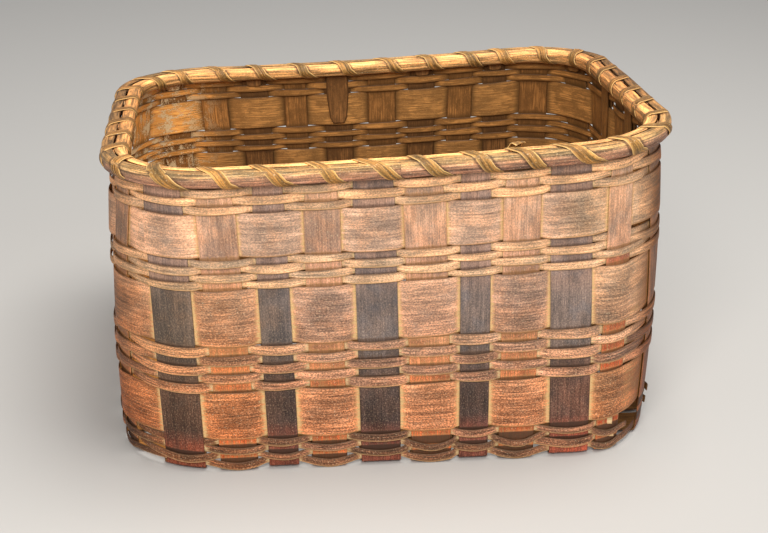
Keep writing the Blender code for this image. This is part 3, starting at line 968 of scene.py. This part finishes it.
    def advance(self, share: Array) -> Array:
        """How far a turn has moved on round the rim, by its share of the way round the hoops.

        It is read off a table that is evened out over about an eighth of a turn.
        """
        knots = (0.0, 0.08, 0.25, 0.42, 0.55, 0.75, 0.92, 1.0)
        moved = (0.0, 0.01, 0.14, 0.30, 0.42, 0.72, 0.985, 1.0)
        fine = np.linspace(0, 1, 401)
        values = np.interp(fine, knots, moved)
        padded = np.concatenate([values[-25:-1] - 1, values, values[1:25] + 1])
        values = np.convolve(padded, np.ones(49) / 49, "valid")
        return np.interp(share, fine, values)

    def slide(self, turns: Array) -> Array:
        """How far the lashing strays along the rim, least where it goes through the wall."""
        return 0.0008 * wobble(turns, self.plan.ends, 92, 70) * np.sin(np.pi * (turns % 1))

    def lash_shadow(self, arc: Array, out: Array, z: Array) -> Array:
        """Over 1 on a hoop along both edges of each turn of the lashing, and 0 from 3 mm on.

        The nearest point of the lashing's loop gives the share of a turn, and so the turn's
        middle line there. Its slope widens the splint along the rim by one over a cosine.
        """
        run, outs, heights = self.loop()
        away = (out[..., None] - outs) ** 2 + (z[..., None] - heights) ** 2
        share = run[away.argmin(-1)] / run[-1]
        coordinates, arcs = self.plan.knots(self.level)
        here = np.interp(arc, arcs, coordinates)
        number = np.round(here - self.lash_start - self.advance(share))
        middle = self.plan.arcs(self.lash_start + number + self.advance(share), self.level)
        middle = middle + self.slide((number + share) % self.plan.ends)
        rise = (self.advance(share + 0.01) - self.advance(share - 0.01)) / 0.02
        slope = rise * self.plan.pitch / run[-1]
        gap = np.abs(arc - middle) - self.lash_width / 2 * np.hypot(1, slope)
        return 1.25 * np.exp(-((gap / 0.0012) ** 2))

    def lashing(self) -> bpy.types.Object:
        """The lashing, laid on the tube round both hoops, with its loose end standing off.

        Its middle line goes once round the section per stake end. Across, it is square to that
        line on the unrolled tube, so it lies close on the hoops.
        """
        run, outs, heights = self.loop()
        ends, section = self.plan.ends, self.lash
        turns = np.arange(0, ends + self.loose_end, 1 / self.lash_steps)
        share, number = turns % 1, np.floor(turns)
        last = smooth((turns - ends - 0.16) / 0.2)
        coordinate = self.lash_start + number + self.advance(share) + 0.22 * last
        arc = self.plan.arcs(coordinate, self.level)
        around = share * run[-1]
        forward, up = np.gradient(arc), np.gradient(turns * run[-1])
        size = np.hypot(forward, up)
        width = self.lash_width * (1 + 0.08 * wobble(turns, ends, 91, 60))
        across = (section.across()[None, :] - 0.5) * width[:, None]
        arcs = arc[:, None] + self.slide(turns)[:, None] + across * (up / size)[:, None]
        places = (around[:, None] - across * (forward / size)[:, None]) % run[-1]
        loose = np.clip(1 + wobble(turns, ends, 93, 80), 0, 3) * np.sin(np.pi * share) ** 2
        away = 0.0002 * loose + 0.0009 * smooth((turns - ends) / 0.05) + 0.0042 * last**2
        push = 1 + away[:, None] / 0.008
        out, z = np.interp(places, run, outs), np.interp(places, run, heights)
        centre = (self.inner_face + self.outer_face) / 2
        high = self.top + 0.0005 + 0.0016 * last[:, None]
        z = np.minimum(self.level + (z - self.level) * push, high)
        points = self.place(arcs, centre + (out - centre) * push, z)
        side = np.minimum(section.across(), 1 - section.across())[None, :] * width[:, None]
        under = smooth(1 - np.minimum(share, 1 - share) / 0.19)[:, None]
        tones = np.random.default_rng(94).uniform(-1, 1, ends + 1)
        values = {
            "end_gap": 1.0,
            # Painted shade in the lashing's grooves and where it goes through the wall under the
            # hoops.
            "groove": np.maximum(0.42 * both(section.grooves(0.13)), 1.2 * under),
            "side_gap": both(np.clip(side / SIDE_SCALE, 0, 1)),
            "tone": tones[number.astype(int)][:, None],
        }
        grain = grain_grid(np.cumsum(size), across, 5.0)
        return Surface(shell(points, section, False), grain, values).build("rim_lashing_splint")


class Marks(Enum):
    """Kinds of marks on a splint: how many per metre along and across it, detail, roughness."""

    FIBRES = (38, 800, 4, 0.62)
    MOTTLE = (620, 980, 5, 0.72)
    PORES = (900, 1300, 2, 0.5)
    PATCHES = (30, 48, 3, 0.6)
    BLOTCHES = (70, 130, 4, 0.62)
    STREAKS = (14, 300, 3, 0.6)
    CAST = (55, 70, 2, 0.6)
    DOTS = (620, 700, 1, 0.4)


class Paint:
    """Nodes of one material, with a method for each kind of node that the finishes use."""

    def __init__(self, name: str) -> None:
        """Start an empty Principled material."""
        self.material = bpy.data.materials.new(name)
        self.material.use_nodes = True
        self.tree = self.material.node_tree
        self.shader = self.tree.nodes["Principled BSDF"]
        self.made: dict[Marks, Socket] = {}

    def node(self, kind: str, inputs: tuple = (), **settings: object) -> bpy.types.Node:
        """Add a node, set its own properties and feed its first inputs in order."""
        item = self.tree.nodes.new(f"ShaderNode{kind}")
        for key, value in settings.items():
            setattr(item, key, value)
        for socket, value in zip(item.inputs, inputs):
            self.feed(socket, value)
        return item

    def feed(self, socket: Socket, value: object) -> None:
        """Link a socket to another, or set its value."""
        if isinstance(value, bpy.types.NodeSocket):
            self.tree.links.new(value, socket)
        else:
            socket.default_value = value

    def value(self, name: str) -> Socket:
        """Read one of the splint's named values."""
        return self.node("Attribute", attribute_name=name).outputs["Fac"]

    def marks(self, kind: Marks) -> Socket:
        """One kind of marks: fractal noise of about 0.2 to 0.8 on the grain coordinates."""
        if kind not in self.made:
            along, across, detail, rough = kind.value
            grain = self.node("UVMap", uv_map="grain").outputs["UV"]
            stretch = self.node("VectorMath", (grain, (along, across, 1.0)), operation="MULTIPLY")
            item = self.node("TexNoise", noise_dimensions="2D")
            self.feed(item.inputs["Vector"], stretch.outputs[0])
            for name, value in (("Scale", 1.0), ("Detail", detail), ("Roughness", rough)):
                self.feed(item.inputs[name], value)
            self.made[kind] = item.outputs["Fac"]
        return self.made[kind]

    def span(
        self, value: object, low: float, high: float, start: float = 0.0, end: float = 1.0,
        kind: str = "SMOOTHSTEP",
    ) -> Socket:
        """Stretch a range smoothly onto another one and hold it there."""
        stretch = self.node("MapRange", (value, low, high, start, end), interpolation_type=kind)
        return stretch.outputs[0]

    def sum(self, operation: str, first: object, second: object = 0.0) -> Socket:
        """One sum on two numbers."""
        return self.node("Math", (first, second), operation=operation).outputs[0]

    plus = partialmethod(sum, "ADD")
    minus = partialmethod(sum, "SUBTRACT")
    times = partialmethod(sum, "MULTIPLY")

    def mix(self, factor: object, first: object, second: object, blend: str = "MIX") -> Socket:
        """Mix two colours."""
        item = self.node("Mix", data_type="RGBA", blend_type=blend)
        for index, value in ((0, factor), (6, first), (7, second)):
            self.feed(item.inputs[index], (*value, 1.0) if isinstance(value, tuple) else value)
        return item.outputs[2]

    def tint(self, factor: object, colour: object, by: object) -> Socket:
        """Multiply a colour by another one, by a share."""
        return self.mix(factor, colour, self.mix(1.0, colour, by, "MULTIPLY"))

    def ramp(self, value: object, stops: tuple[tuple[float, Colour], ...]) -> Socket:
        """A colour that changes through stops."""
        item = self.node("ValToRGB", (value,))
        elements = item.color_ramp.elements
        while len(elements) < len(stops):
            elements.new(1.0)
        for element, (place, colour) in zip(elements, stops):
            element.position = place
            element.color = (*colour, 1.0)
        return item.outputs[0]

    def place(self, axis: str, low: float = -0.5, high: float = 0.5) -> Socket:
        """A share of 0 to 1 between two places on one axis of the object."""
        point = self.node("TexCoord").outputs["Object"]
        split = self.node("SeparateXYZ", (point,))
        return self.span(split.outputs[axis], low, high, kind="LINEAR")


# Height of the wall's middle, which the finishes count as 1.
WALL_TOP = 0.24

# Bare wood, from pale to golden.
CREAM: Colour = (1.0, 0.71, 0.36)
GOLD: Colour = (0.86, 0.42, 0.15)

# Factors on a colour: uneven casts of the stain, painted light on the left inside, and painted
# shade round the ends.
COOL_CAST: Colour = (0.88, 0.97, 1.07)
WARM_CAST: Colour = (0.97, 0.84, 0.66)
GREY_CAST: Colour = (0.93, 1.0, 1.08)
PAINTED_LEFT_LIGHT: Colour = (2.3, 2.2, 1.9)
PAINTED_END_SHADE: Colour = (0.34, 0.20, 0.085)

# Pale marks, and painted shadow: in the gaps between splints, along their edges and beside the
# lashing.
FLECK: Colour = (0.78, 0.59, 0.37)
DOT: Colour = (0.95, 0.76, 0.48)
FLAKE: Colour = (1.0, 0.76, 0.42)
PAINTED_CREVICE_SHADOW: Colour = (0.055, 0.026, 0.015)
PAINTED_SHADOW: Colour = (0.06, 0.028, 0.015)


@dataclass(frozen=True)
class SplintFinish:
    """How one kind of splint is stained and worn. Colours are linear.

    The outer face is the stain, which changes with height, darker in its pores and lighter on its
    fibres. It is bare and golden where a neighbour has kept the stain off: at the ends and edges
    of each block. The inner face was never stained.
    """

    name: str
    stops: tuple[tuple[float, Colour], ...]
    halo: Colour
    bare: Colour
    inner: Colour
    bare_ends: float = 0.8
    bare_sides: float = 0.4
    reach: float = 0.34
    fibre: float = 0.30
    speckle: float = 0.35
    rough: float = 0.55
    bump: float = 0.35
    # Strength of the pale edge lines, which are partly a painted highlight.
    edge: float = 0.3
    streak: float = 0.10
    centre: float = 0.0
    vary: float = 0.09
    # How dark the painted shadow lines are where a splint goes behind its neighbour.
    crevice_shadow: float = 0.0
    end_shade: float = 0.35
    right_shade: float = 2.2
    front_shade: float = 1.0
    ramp: str = ""
    dots: float = 0.4
    low_right: Colour = (1.0, 1.0, 1.0)
    right_below: tuple[float, float] = (0.42, 0.25)

    def stained(self, paint: Paint) -> Socket:
        """The outer face's stain: a ramp up the wall, uneven by blocks, fibres and pores."""
        mottle = paint.marks(Marks.MOTTLE)
        height, across = paint.place("Z", 0.0, WALL_TOP), paint.place("X")
        tone = paint.times(paint.value("tone"), self.vary)
        where = paint.value(self.ramp) if self.ramp else paint.plus(height, paint.times(tone, 0.3))
        stain = paint.ramp(where, self.stops)
        shade = paint.span(paint.plus(paint.marks(Marks.PATCHES), tone), 0.28, 0.74, 0.70, 1.25)
        rougher = paint.span(height, 0.1, 0.85, 1.5, 0.8)
        for kind, low, high, strength in (
            (Marks.FIBRES, 0.34, 0.66, self.fibre),
            (Marks.MOTTLE, 0.36, 0.66, self.speckle),
            (Marks.STREAKS, 0.36, 0.64, self.streak),
        ):
            swing = paint.span(paint.marks(kind), low, high, -strength, strength)
            shade = paint.times(shade, paint.plus(paint.times(swing, rougher), 1.0))
        pits = paint.span(paint.marks(Marks.PORES), 0.42, 0.26, 0.0, self.speckle * 1.5)
        shade = paint.times(shade, paint.minus(1.0, paint.times(pits, rougher)))
        cool = paint.span(paint.minus(paint.marks(Marks.CAST), tone), 0.40, 0.66)
        stain = paint.tint(cool, stain, COOL_CAST)
        low_left = paint.times(paint.span(across, 0.44, 0.37), paint.span(height, 0.74, 0.60))
        stain = paint.tint(low_left, stain, WARM_CAST)
        right = paint.span(across, 0.61, 0.64)
        low_right = paint.times(right, paint.span(height, *self.right_below))
        stain = paint.tint(low_right, stain, self.low_right)
        uneven = paint.times(paint.minus(paint.marks(Marks.BLOTCHES), 0.5), 0.8)
        worn_in = paint.span(paint.plus(paint.value("middle"), uneven), 0.15, 0.95)
        worn_in = paint.span(worn_in, 0.0, 1.0, 1.06 + self.centre, 1.06 - self.centre)
        shade = paint.times(shade, worn_in)
        colour = paint.mix(1.0, stain, shade, "MULTIPLY")
        grey = paint.times(paint.span(shade, 1.05, 0.6), paint.span(height, 0.2, 0.5))
        colour = paint.tint(grey, colour, GREY_CAST)
        flecks = paint.times(paint.span(mottle, 0.57, 0.72, 0.0, self.speckle * 1.1), rougher)
        colour = paint.mix(flecks, colour, paint.mix(0.3, FLECK, self.halo))
        dots = paint.span(paint.marks(Marks.DOTS), 0.72, 0.78, 0.0, self.dots)
        return paint.mix(dots, colour, DOT)

    def worn(self, paint: Paint, colour: Socket) -> Socket:
        """The outer face with bare ends and edges, edge lines partly of painted highlight, and
        painted shadow lines.
        """
        fibres, mottle = paint.marks(Marks.FIBRES), paint.marks(Marks.MOTTLE)
        height = paint.place("Z", 0.0, WALL_TOP)
        end_gap, side_gap = paint.value("end_gap"), paint.value("side_gap")
        ragged = paint.times(paint.minus(fibres, 0.5), 0.85)
        ragged = paint.plus(ragged, paint.times(paint.minus(mottle, 0.5), 0.6))
        gap = paint.times(end_gap, paint.span(height, 0.45, 0.80, 1.0, 1.7))
        ends = paint.span(paint.plus(gap, ragged), self.reach, 0.02, 0.0, self.bare_ends)
        sides = paint.span(paint.plus(side_gap, ragged), 0.42, 0.05, 0.0, self.bare_sides)
        worn = paint.sum("MAXIMUM", ends, sides)
        gold = paint.mix(paint.span(worn, 0.35, 0.85), self.halo, self.bare)
        gold = paint.mix(1.0, gold, paint.span(fibres, 0.3, 0.65, 0.74, 1.1), "MULTIPLY")
        colour = paint.mix(worn, colour, gold)
        # Pale lines along the very edges: partly bare wood, partly a painted highlight on the
        # raised edges.
        colour = paint.mix(paint.span(side_gap, 0.16, 0.06, 0.0, self.edge), colour, self.halo)
        # Painted shadow: a dark line where a splint goes behind the row or stake that hides it,
        # stronger low down.
        shadow_strength = paint.span(height, 0.05, 0.6, self.crevice_shadow, 0.45 * self.crevice_shadow)
        return paint.mix(paint.times(paint.span(end_gap, 0.13, 0.04), shadow_strength), colour, PAINTED_CREVICE_SHADOW)

    def inside(self, paint: Paint) -> Socket:
        """The inner face: bare wood, dark in blotches, painted shade at its edges and low down,
        painted light on the left, flaking at the back left.
        """
        mottle, blotches = paint.marks(Marks.MOTTLE), paint.marks(Marks.BLOTCHES)
        height, across = paint.place("Z", 0.0, WALL_TOP), paint.place("X")
        near = paint.sum("MINIMUM", paint.value("end_gap"), paint.value("side_gap"))
        dark = tuple(0.42 * channel for channel in self.inner)
        wood = paint.mix(paint.span(paint.marks(Marks.FIBRES), 0.36, 0.64), dark, self.inner)
        for source, low, high, most, times in (
            (paint.marks(Marks.PATCHES), 0.38, 0.6, 0.6, 0.42),
            (blotches, 0.46, 0.60, 0.65, 0.36),
            (mottle, 0.55, 0.70, 0.35, 1.4),
            # Painted shade on the inner face near its ends and edges, beside other splints.
            (near, 0.5, 0.0, 0.85, 0.22),
        ):
            other = tuple(min(times * channel, 1.0) for channel in self.inner)
            wood = paint.mix(paint.span(source, low, high, 0.0, most), wood, other)
        # Painted shade: the inner face is darker lower down.
        wood = paint.mix(1.0, wood, paint.span(height, 0.45, 0.72, 0.62, 1.04), "MULTIPLY")
        # Painted light: the inner face on the left is brightened.
        left = paint.span(across, 0.38, 0.32)
        wood = paint.tint(left, wood, PAINTED_LEFT_LIGHT)
        flaking = paint.plus(paint.times(mottle, 0.45), paint.times(blotches, 0.55))
        back = paint.span(paint.place("Y"), 0.40, 0.60)
        corner = paint.times(paint.span(height, 0.25, 0.5), back)
        flakes = paint.times(corner, paint.span(flaking, 0.51, 0.56, 0.0, 0.9))
        return paint.mix(paint.times(left, flakes), wood, FLAKE)

    def shade_round_ends(self, paint: Paint) -> Socket:
        """Painted shade on the outer face round the ends, more on the right and less at the front.
        """
        across = paint.place("X")
        beside = paint.sum("ABSOLUTE", paint.minus(across, 0.5))
        shade_round_ends = paint.span(beside, 0.174, 0.210, 0.0, self.end_shade)
        right = paint.span(across, 0.62, 0.66, 1.0, self.right_shade)
        front = paint.span(paint.place("Y"), 0.36, 0.50, self.front_shade, 1.0)
        outer = paint.span(paint.value("inner"), 0.0, 1.0, 1.0, 0.0)
        return paint.times(paint.times(shade_round_ends, right), paint.times(outer, front))

    def material(self) -> bpy.types.Material:
        """Lay the stain, the wear, the inner face and the shadows over each other."""
        paint = Paint(self.name)
        fibres, mottle = paint.marks(Marks.FIBRES), paint.marks(Marks.MOTTLE)
        colour = self.worn(paint, self.stained(paint))
        colour = paint.mix(paint.value("inner"), colour, self.inside(paint))
        # Painted shade from the groove values: upper edges of weavers, hoops beside the lashing,
        # the lashing's grooves.
        colour = paint.mix(paint.times(paint.value("groove"), 0.7), colour, PAINTED_SHADOW)
        # Painted shade darkens the outer face round the ends.
        colour = paint.tint(self.shade_round_ends(paint), colour, PAINTED_END_SHADE)
        rough = paint.span(mottle, 0.3, 0.7, self.rough - 0.12, self.rough + 0.15)
        bump = paint.node("Bump")
        bump.inputs["Strength"].default_value = self.bump
        bump.inputs["Distance"].default_value = 0.001
        paint.feed(bump.inputs["Height"], paint.plus(fibres, paint.times(mottle, 0.35)))
        paint.feed(paint.shader.inputs["Base Color"], colour)
        paint.feed(paint.shader.inputs["Roughness"], rough)
        paint.feed(paint.shader.inputs["Normal"], bump.outputs[0])
        paint.shader.inputs["Specular IOR Level"].default_value = 0.28
        return paint.material


FINISHES: dict[str, SplintFinish] = {
    "dark_stake": SplintFinish(
        "dark_stain",
        ((0.04, (0.25, 0.065, 0.035)), (0.10, (0.22, 0.06, 0.035)), (0.17, (0.095, 0.052, 0.038)),
         (0.32, (0.125, 0.072, 0.052)), (0.45, (0.20, 0.14, 0.11)), (0.62, (0.225, 0.16, 0.13)),
         (0.72, (0.38, 0.23, 0.165)), (1.0, (0.42, 0.24, 0.16))),
        halo=(0.34, 0.19, 0.11), bare=(0.45, 0.24, 0.13), inner=(0.40, 0.175, 0.05),
        bare_ends=0.35, bare_sides=0.0, reach=0.16, fibre=0.15, speckle=0.26, rough=0.62,
        bump=0.25, edge=0.0, dots=0.12, low_right=(1.75, 1.35, 1.15), crevice_shadow=0.9,
    ),
    "red_stake": SplintFinish(
        "red_brown_stain",
        ((0.05, (0.62, 0.12, 0.03)), (0.30, (0.64, 0.18, 0.06)), (0.50, (0.66, 0.29, 0.13)),
         (0.72, (0.63, 0.315, 0.183)), (1.0, (0.67, 0.36, 0.20))),
        halo=GOLD, bare=(0.88, 0.44, 0.17), inner=(0.54, 0.235, 0.062),
        bare_ends=0.6, bare_sides=0.10, reach=0.26, fibre=0.22, speckle=0.26,
        low_right=(0.95, 0.58, 0.46), right_below=(0.735, 0.70), crevice_shadow=0.9,
    ),
    "side_stake": SplintFinish(
        "brown_stain",
        ((0.05, (0.45, 0.14, 0.06)), (0.50, (0.46, 0.21, 0.11)), (1.0, (0.52, 0.27, 0.15))),
        halo=GOLD, bare=(0.88, 0.44, 0.17), inner=(0.58, 0.26, 0.068),
        bare_ends=0.5, bare_sides=0.10, reach=0.26, fibre=0.26, speckle=0.28, crevice_shadow=0.9,
    ),
    "wide_weaver": SplintFinish(
        "worn_brown",
        ((0.12, (0.56, 0.196, 0.077)), (0.38, (0.575, 0.24, 0.108)), (0.55, (0.57, 0.29, 0.17)),
         (0.75, (0.76, 0.415, 0.242)), (0.95, (0.81, 0.44, 0.253))),
        halo=GOLD, bare=(1.0, 0.64, 0.28), inner=(0.78, 0.365, 0.10),
        bare_ends=1.0, bare_sides=0.5, reach=0.44, fibre=0.24, speckle=0.34, rough=0.58,
        streak=0.16, centre=0.19, end_shade=0.5, low_right=(0.90, 0.92, 0.84),
        right_below=(2.0, 1.9),
    ),
    "narrow_weaver": SplintFinish(
        "worn_grey_brown",
        ((0.03, (0.27, 0.107, 0.048)), (0.12, (0.32, 0.13, 0.066)), (0.38, (0.60, 0.265, 0.138)),
         (0.62, (0.79, 0.47, 0.26)), (0.85, (0.82, 0.435, 0.22)), (1.0, (0.93, 0.49, 0.235))),
        halo=(0.94, 0.54, 0.23), bare=CREAM, inner=(0.76, 0.345, 0.09),
        bare_ends=0.9, bare_sides=0.3, reach=0.32, fibre=0.34, speckle=0.36, bump=0.4,
        edge=0.85, streak=0.16, centre=0.08, end_shade=0.5, vary=0.15,
    ),
    "hoop": SplintFinish(
        "golden_wood",
        # Painted shade and light: the stops run from the dark undersides of the hoops to the
        # brighter face of the inner hoop.
        ((0.0, (0.30, 0.125, 0.065)), (0.30, (0.42, 0.19, 0.105)), (0.48, (0.60, 0.29, 0.15)),
         (0.70, (0.61, 0.34, 0.13)), (0.87, (0.46, 0.235, 0.078)), (1.0, (0.85, 0.41, 0.135))),
        halo=(0.92, 0.60, 0.22), bare=CREAM, inner=(0.31, 0.115, 0.085),
        bare_ends=0.2, bare_sides=0.2, reach=0.3, fibre=0.55, speckle=0.3, rough=0.5, bump=0.6,
        edge=0.0, streak=0.45, end_shade=0.58, right_shade=1.1, front_shade=0.35, ramp="level",
    ),
    "lashing": SplintFinish(
        "pale_golden_wood",
        ((0.0, (0.41, 0.19, 0.045)), (1.0, (0.43, 0.20, 0.048))),
        halo=(0.96, 0.60, 0.22), bare=CREAM, inner=(0.42, 0.21, 0.08),
        bare_ends=0.0, bare_sides=0.3, reach=0.3, fibre=0.6, speckle=0.25, rough=0.45, bump=0.6,
        edge=0.9, streak=0.3, end_shade=0.42, right_shade=1.1, front_shade=0.4,
    ),
}


@dataclass
class Basket:
    """The whole basket: its stakes, weavers and rim, each riding on the one body."""

    plan: StakePlan = field(default_factory=StakePlan)
    rows: list[Row] = field(default_factory=row_table)
    finishes: dict[str, bpy.types.Material] = field(default_factory=dict)

    def dress(self, item: bpy.types.Object, node: str, slot: str) -> None:
        """Give a piece its finish, set it on the body and let it stand for its CAD node."""
        if slot not in self.finishes:
            self.finishes[slot] = FINISHES[slot].material()
        item.data.materials.append(self.finishes[slot])
        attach(item, "root")
        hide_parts(node)
        LOG.info("%s: %d faces", item.name, len(item.data.polygons))

    def build(self) -> None:
        """Make every piece."""
        for label, count, sides, seed in (
            ("cross_stake", self.plan.cross, CROSS_SIDES, 10),
            ("long_stake", self.plan.longs, (Side.LEFT, Side.RIGHT), 30),
        ):
            for number in range(count):
                name = f"{label}_{number + 1:02d}"
                ends = (self.plan.end(side, number) for side in sides)
                crossing = sides == CROSS_SIDES
                stake = Stake(self.plan, self.rows, name, *ends, crossing, seed + number)
                stain = "red_stake" if number % 2 else "dark_stake"
                self.dress(stake.build(), name, stain if crossing else "side_stake")
        for index, row in enumerate(self.rows):
            slot = "wide_weaver" if row.wide else "narrow_weaver"
            self.dress(Weaver(self.plan, row, 50 + index).build(), row.name, slot)
        rim = Rim(self.plan)
        self.dress(rim.hoop("outer_hoop", rim.outer_face, 1, 81), "rim_hoop_outer", "hoop")
        self.dress(rim.hoop("inner_hoop", rim.inner_face, -1, 82), "rim_hoop_inner", "hoop")
        self.dress(rim.lashing(), "rim_lashing", "lashing")


@dataclass(frozen=True)
class Lamp:
    """A square soft lamp: its place, its size in metres, its power in watts and its colour."""

    name: str
    place: tuple[float, float, float]
    size: float
    power: float
    colour: Colour

    def build(self, aim: tuple[float, float, float]) -> None:
        """Hang the lamp so that it looks at a point."""
        data = bpy.data.lights.new(self.name, "AREA")
        data.shape, data.size, data.energy = "SQUARE", self.size, self.power
        data.color = self.colour
        item = bpy.data.objects.new(self.name, data)
        item.location = self.place
        toward = Vector(aim) - Vector(self.place)
        item.rotation_euler = toward.to_track_quat("-Z", "Y").to_euler()
        bpy.context.scene.collection.objects.link(item)


@dataclass(frozen=True)
class Studio:
    """A pale floor, soft lamps that look at the basket's middle, and the camera."""

    floor: Colour = (0.50, 0.485, 0.455)
    floor_reach: float = 6.0
    lens: float = 66.64
    yaw: float = 0.114928
    pitch: float = 0.434899
    roll: float = 0.018758
    place: tuple[float, float, float] = (-0.119169, -1.107104, 0.611260)
    aim: tuple[float, float, float] = (0.0, 0.0, 0.12)
    lamps: tuple[Lamp, ...] = (
        Lamp("key", (-0.55, -1.6, 1.5), 0.9, 27.0, (1.0, 0.97, 0.94)),
        Lamp("fill", (1.1, -1.5, 1.3), 1.2, 8.0, (0.98, 0.98, 1.0)),
        Lamp("top", (0.35, -0.1, 1.9), 1.0, 30.0, (1.0, 0.98, 0.96)),
    )
    sky: Colour = (0.93, 0.95, 1.0)
    sky_strength: float = 0.36

    def camera(self) -> None:
        """Set the camera: turned by its yaw and pitch, then rolled about its own axis."""
        data = bpy.data.cameras.new("camera")
        data.lens, data.sensor_width = self.lens, 36.0
        item = bpy.data.objects.new("camera", data)
        (sin, cos), (rise, flat) = ((math.sin(a), math.cos(a)) for a in (self.yaw, self.pitch))
        forward = np.array([sin * flat, cos * flat, -rise])
        level = np.array([cos, -sin, 0.0])
        above = np.cross(level, forward)
        sin, cos = math.sin(self.roll), math.cos(self.roll)
        right, up = cos * level + sin * above, cos * above - sin * level
        turned = np.eye(4)
        turned[:3] = np.stack([right, up, -forward, self.place], 1)
        item.matrix_world = Matrix(turned.tolist())
        bpy.context.scene.collection.objects.link(item)
        bpy.context.scene.camera = item

    def build(self) -> None:
        """Make the floor, lamps, world and camera."""
        mesh = bpy.data.meshes.new("floor")
        reach = self.floor_reach
        corners = [(-reach, -reach, 0), (reach, -reach, 0), (reach, reach, 0), (-reach, reach, 0)]
        mesh.from_pydata(corners, [], [(0, 1, 2, 3)])
        floor = bpy.data.objects.new("floor", mesh)
        paint = Paint("floor_paper")
        paint.shader.inputs["Base Color"].default_value = (*self.floor, 1.0)
        paint.shader.inputs["Roughness"].default_value = 0.9
        mesh.materials.append(paint.material)
        bpy.context.scene.collection.objects.link(floor)
        for lamp in self.lamps:
            lamp.build(self.aim)
        world = bpy.data.worlds.new("world")
        world.use_nodes = True
        background = world.node_tree.nodes["Background"]
        background.inputs["Color"].default_value = (*self.sky, 1.0)
        background.inputs["Strength"].default_value = self.sky_strength
        bpy.context.scene.world = world
        bpy.context.scene.view_settings.view_transform = "Standard"
        self.camera()


def main() -> None:
    """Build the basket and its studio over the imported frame."""
    logging.basicConfig(level=logging.INFO, format="%(message)s", stream=sys.stdout)
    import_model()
    Basket().build()
    Studio().build()


if __name__ == "__main__":
    main()
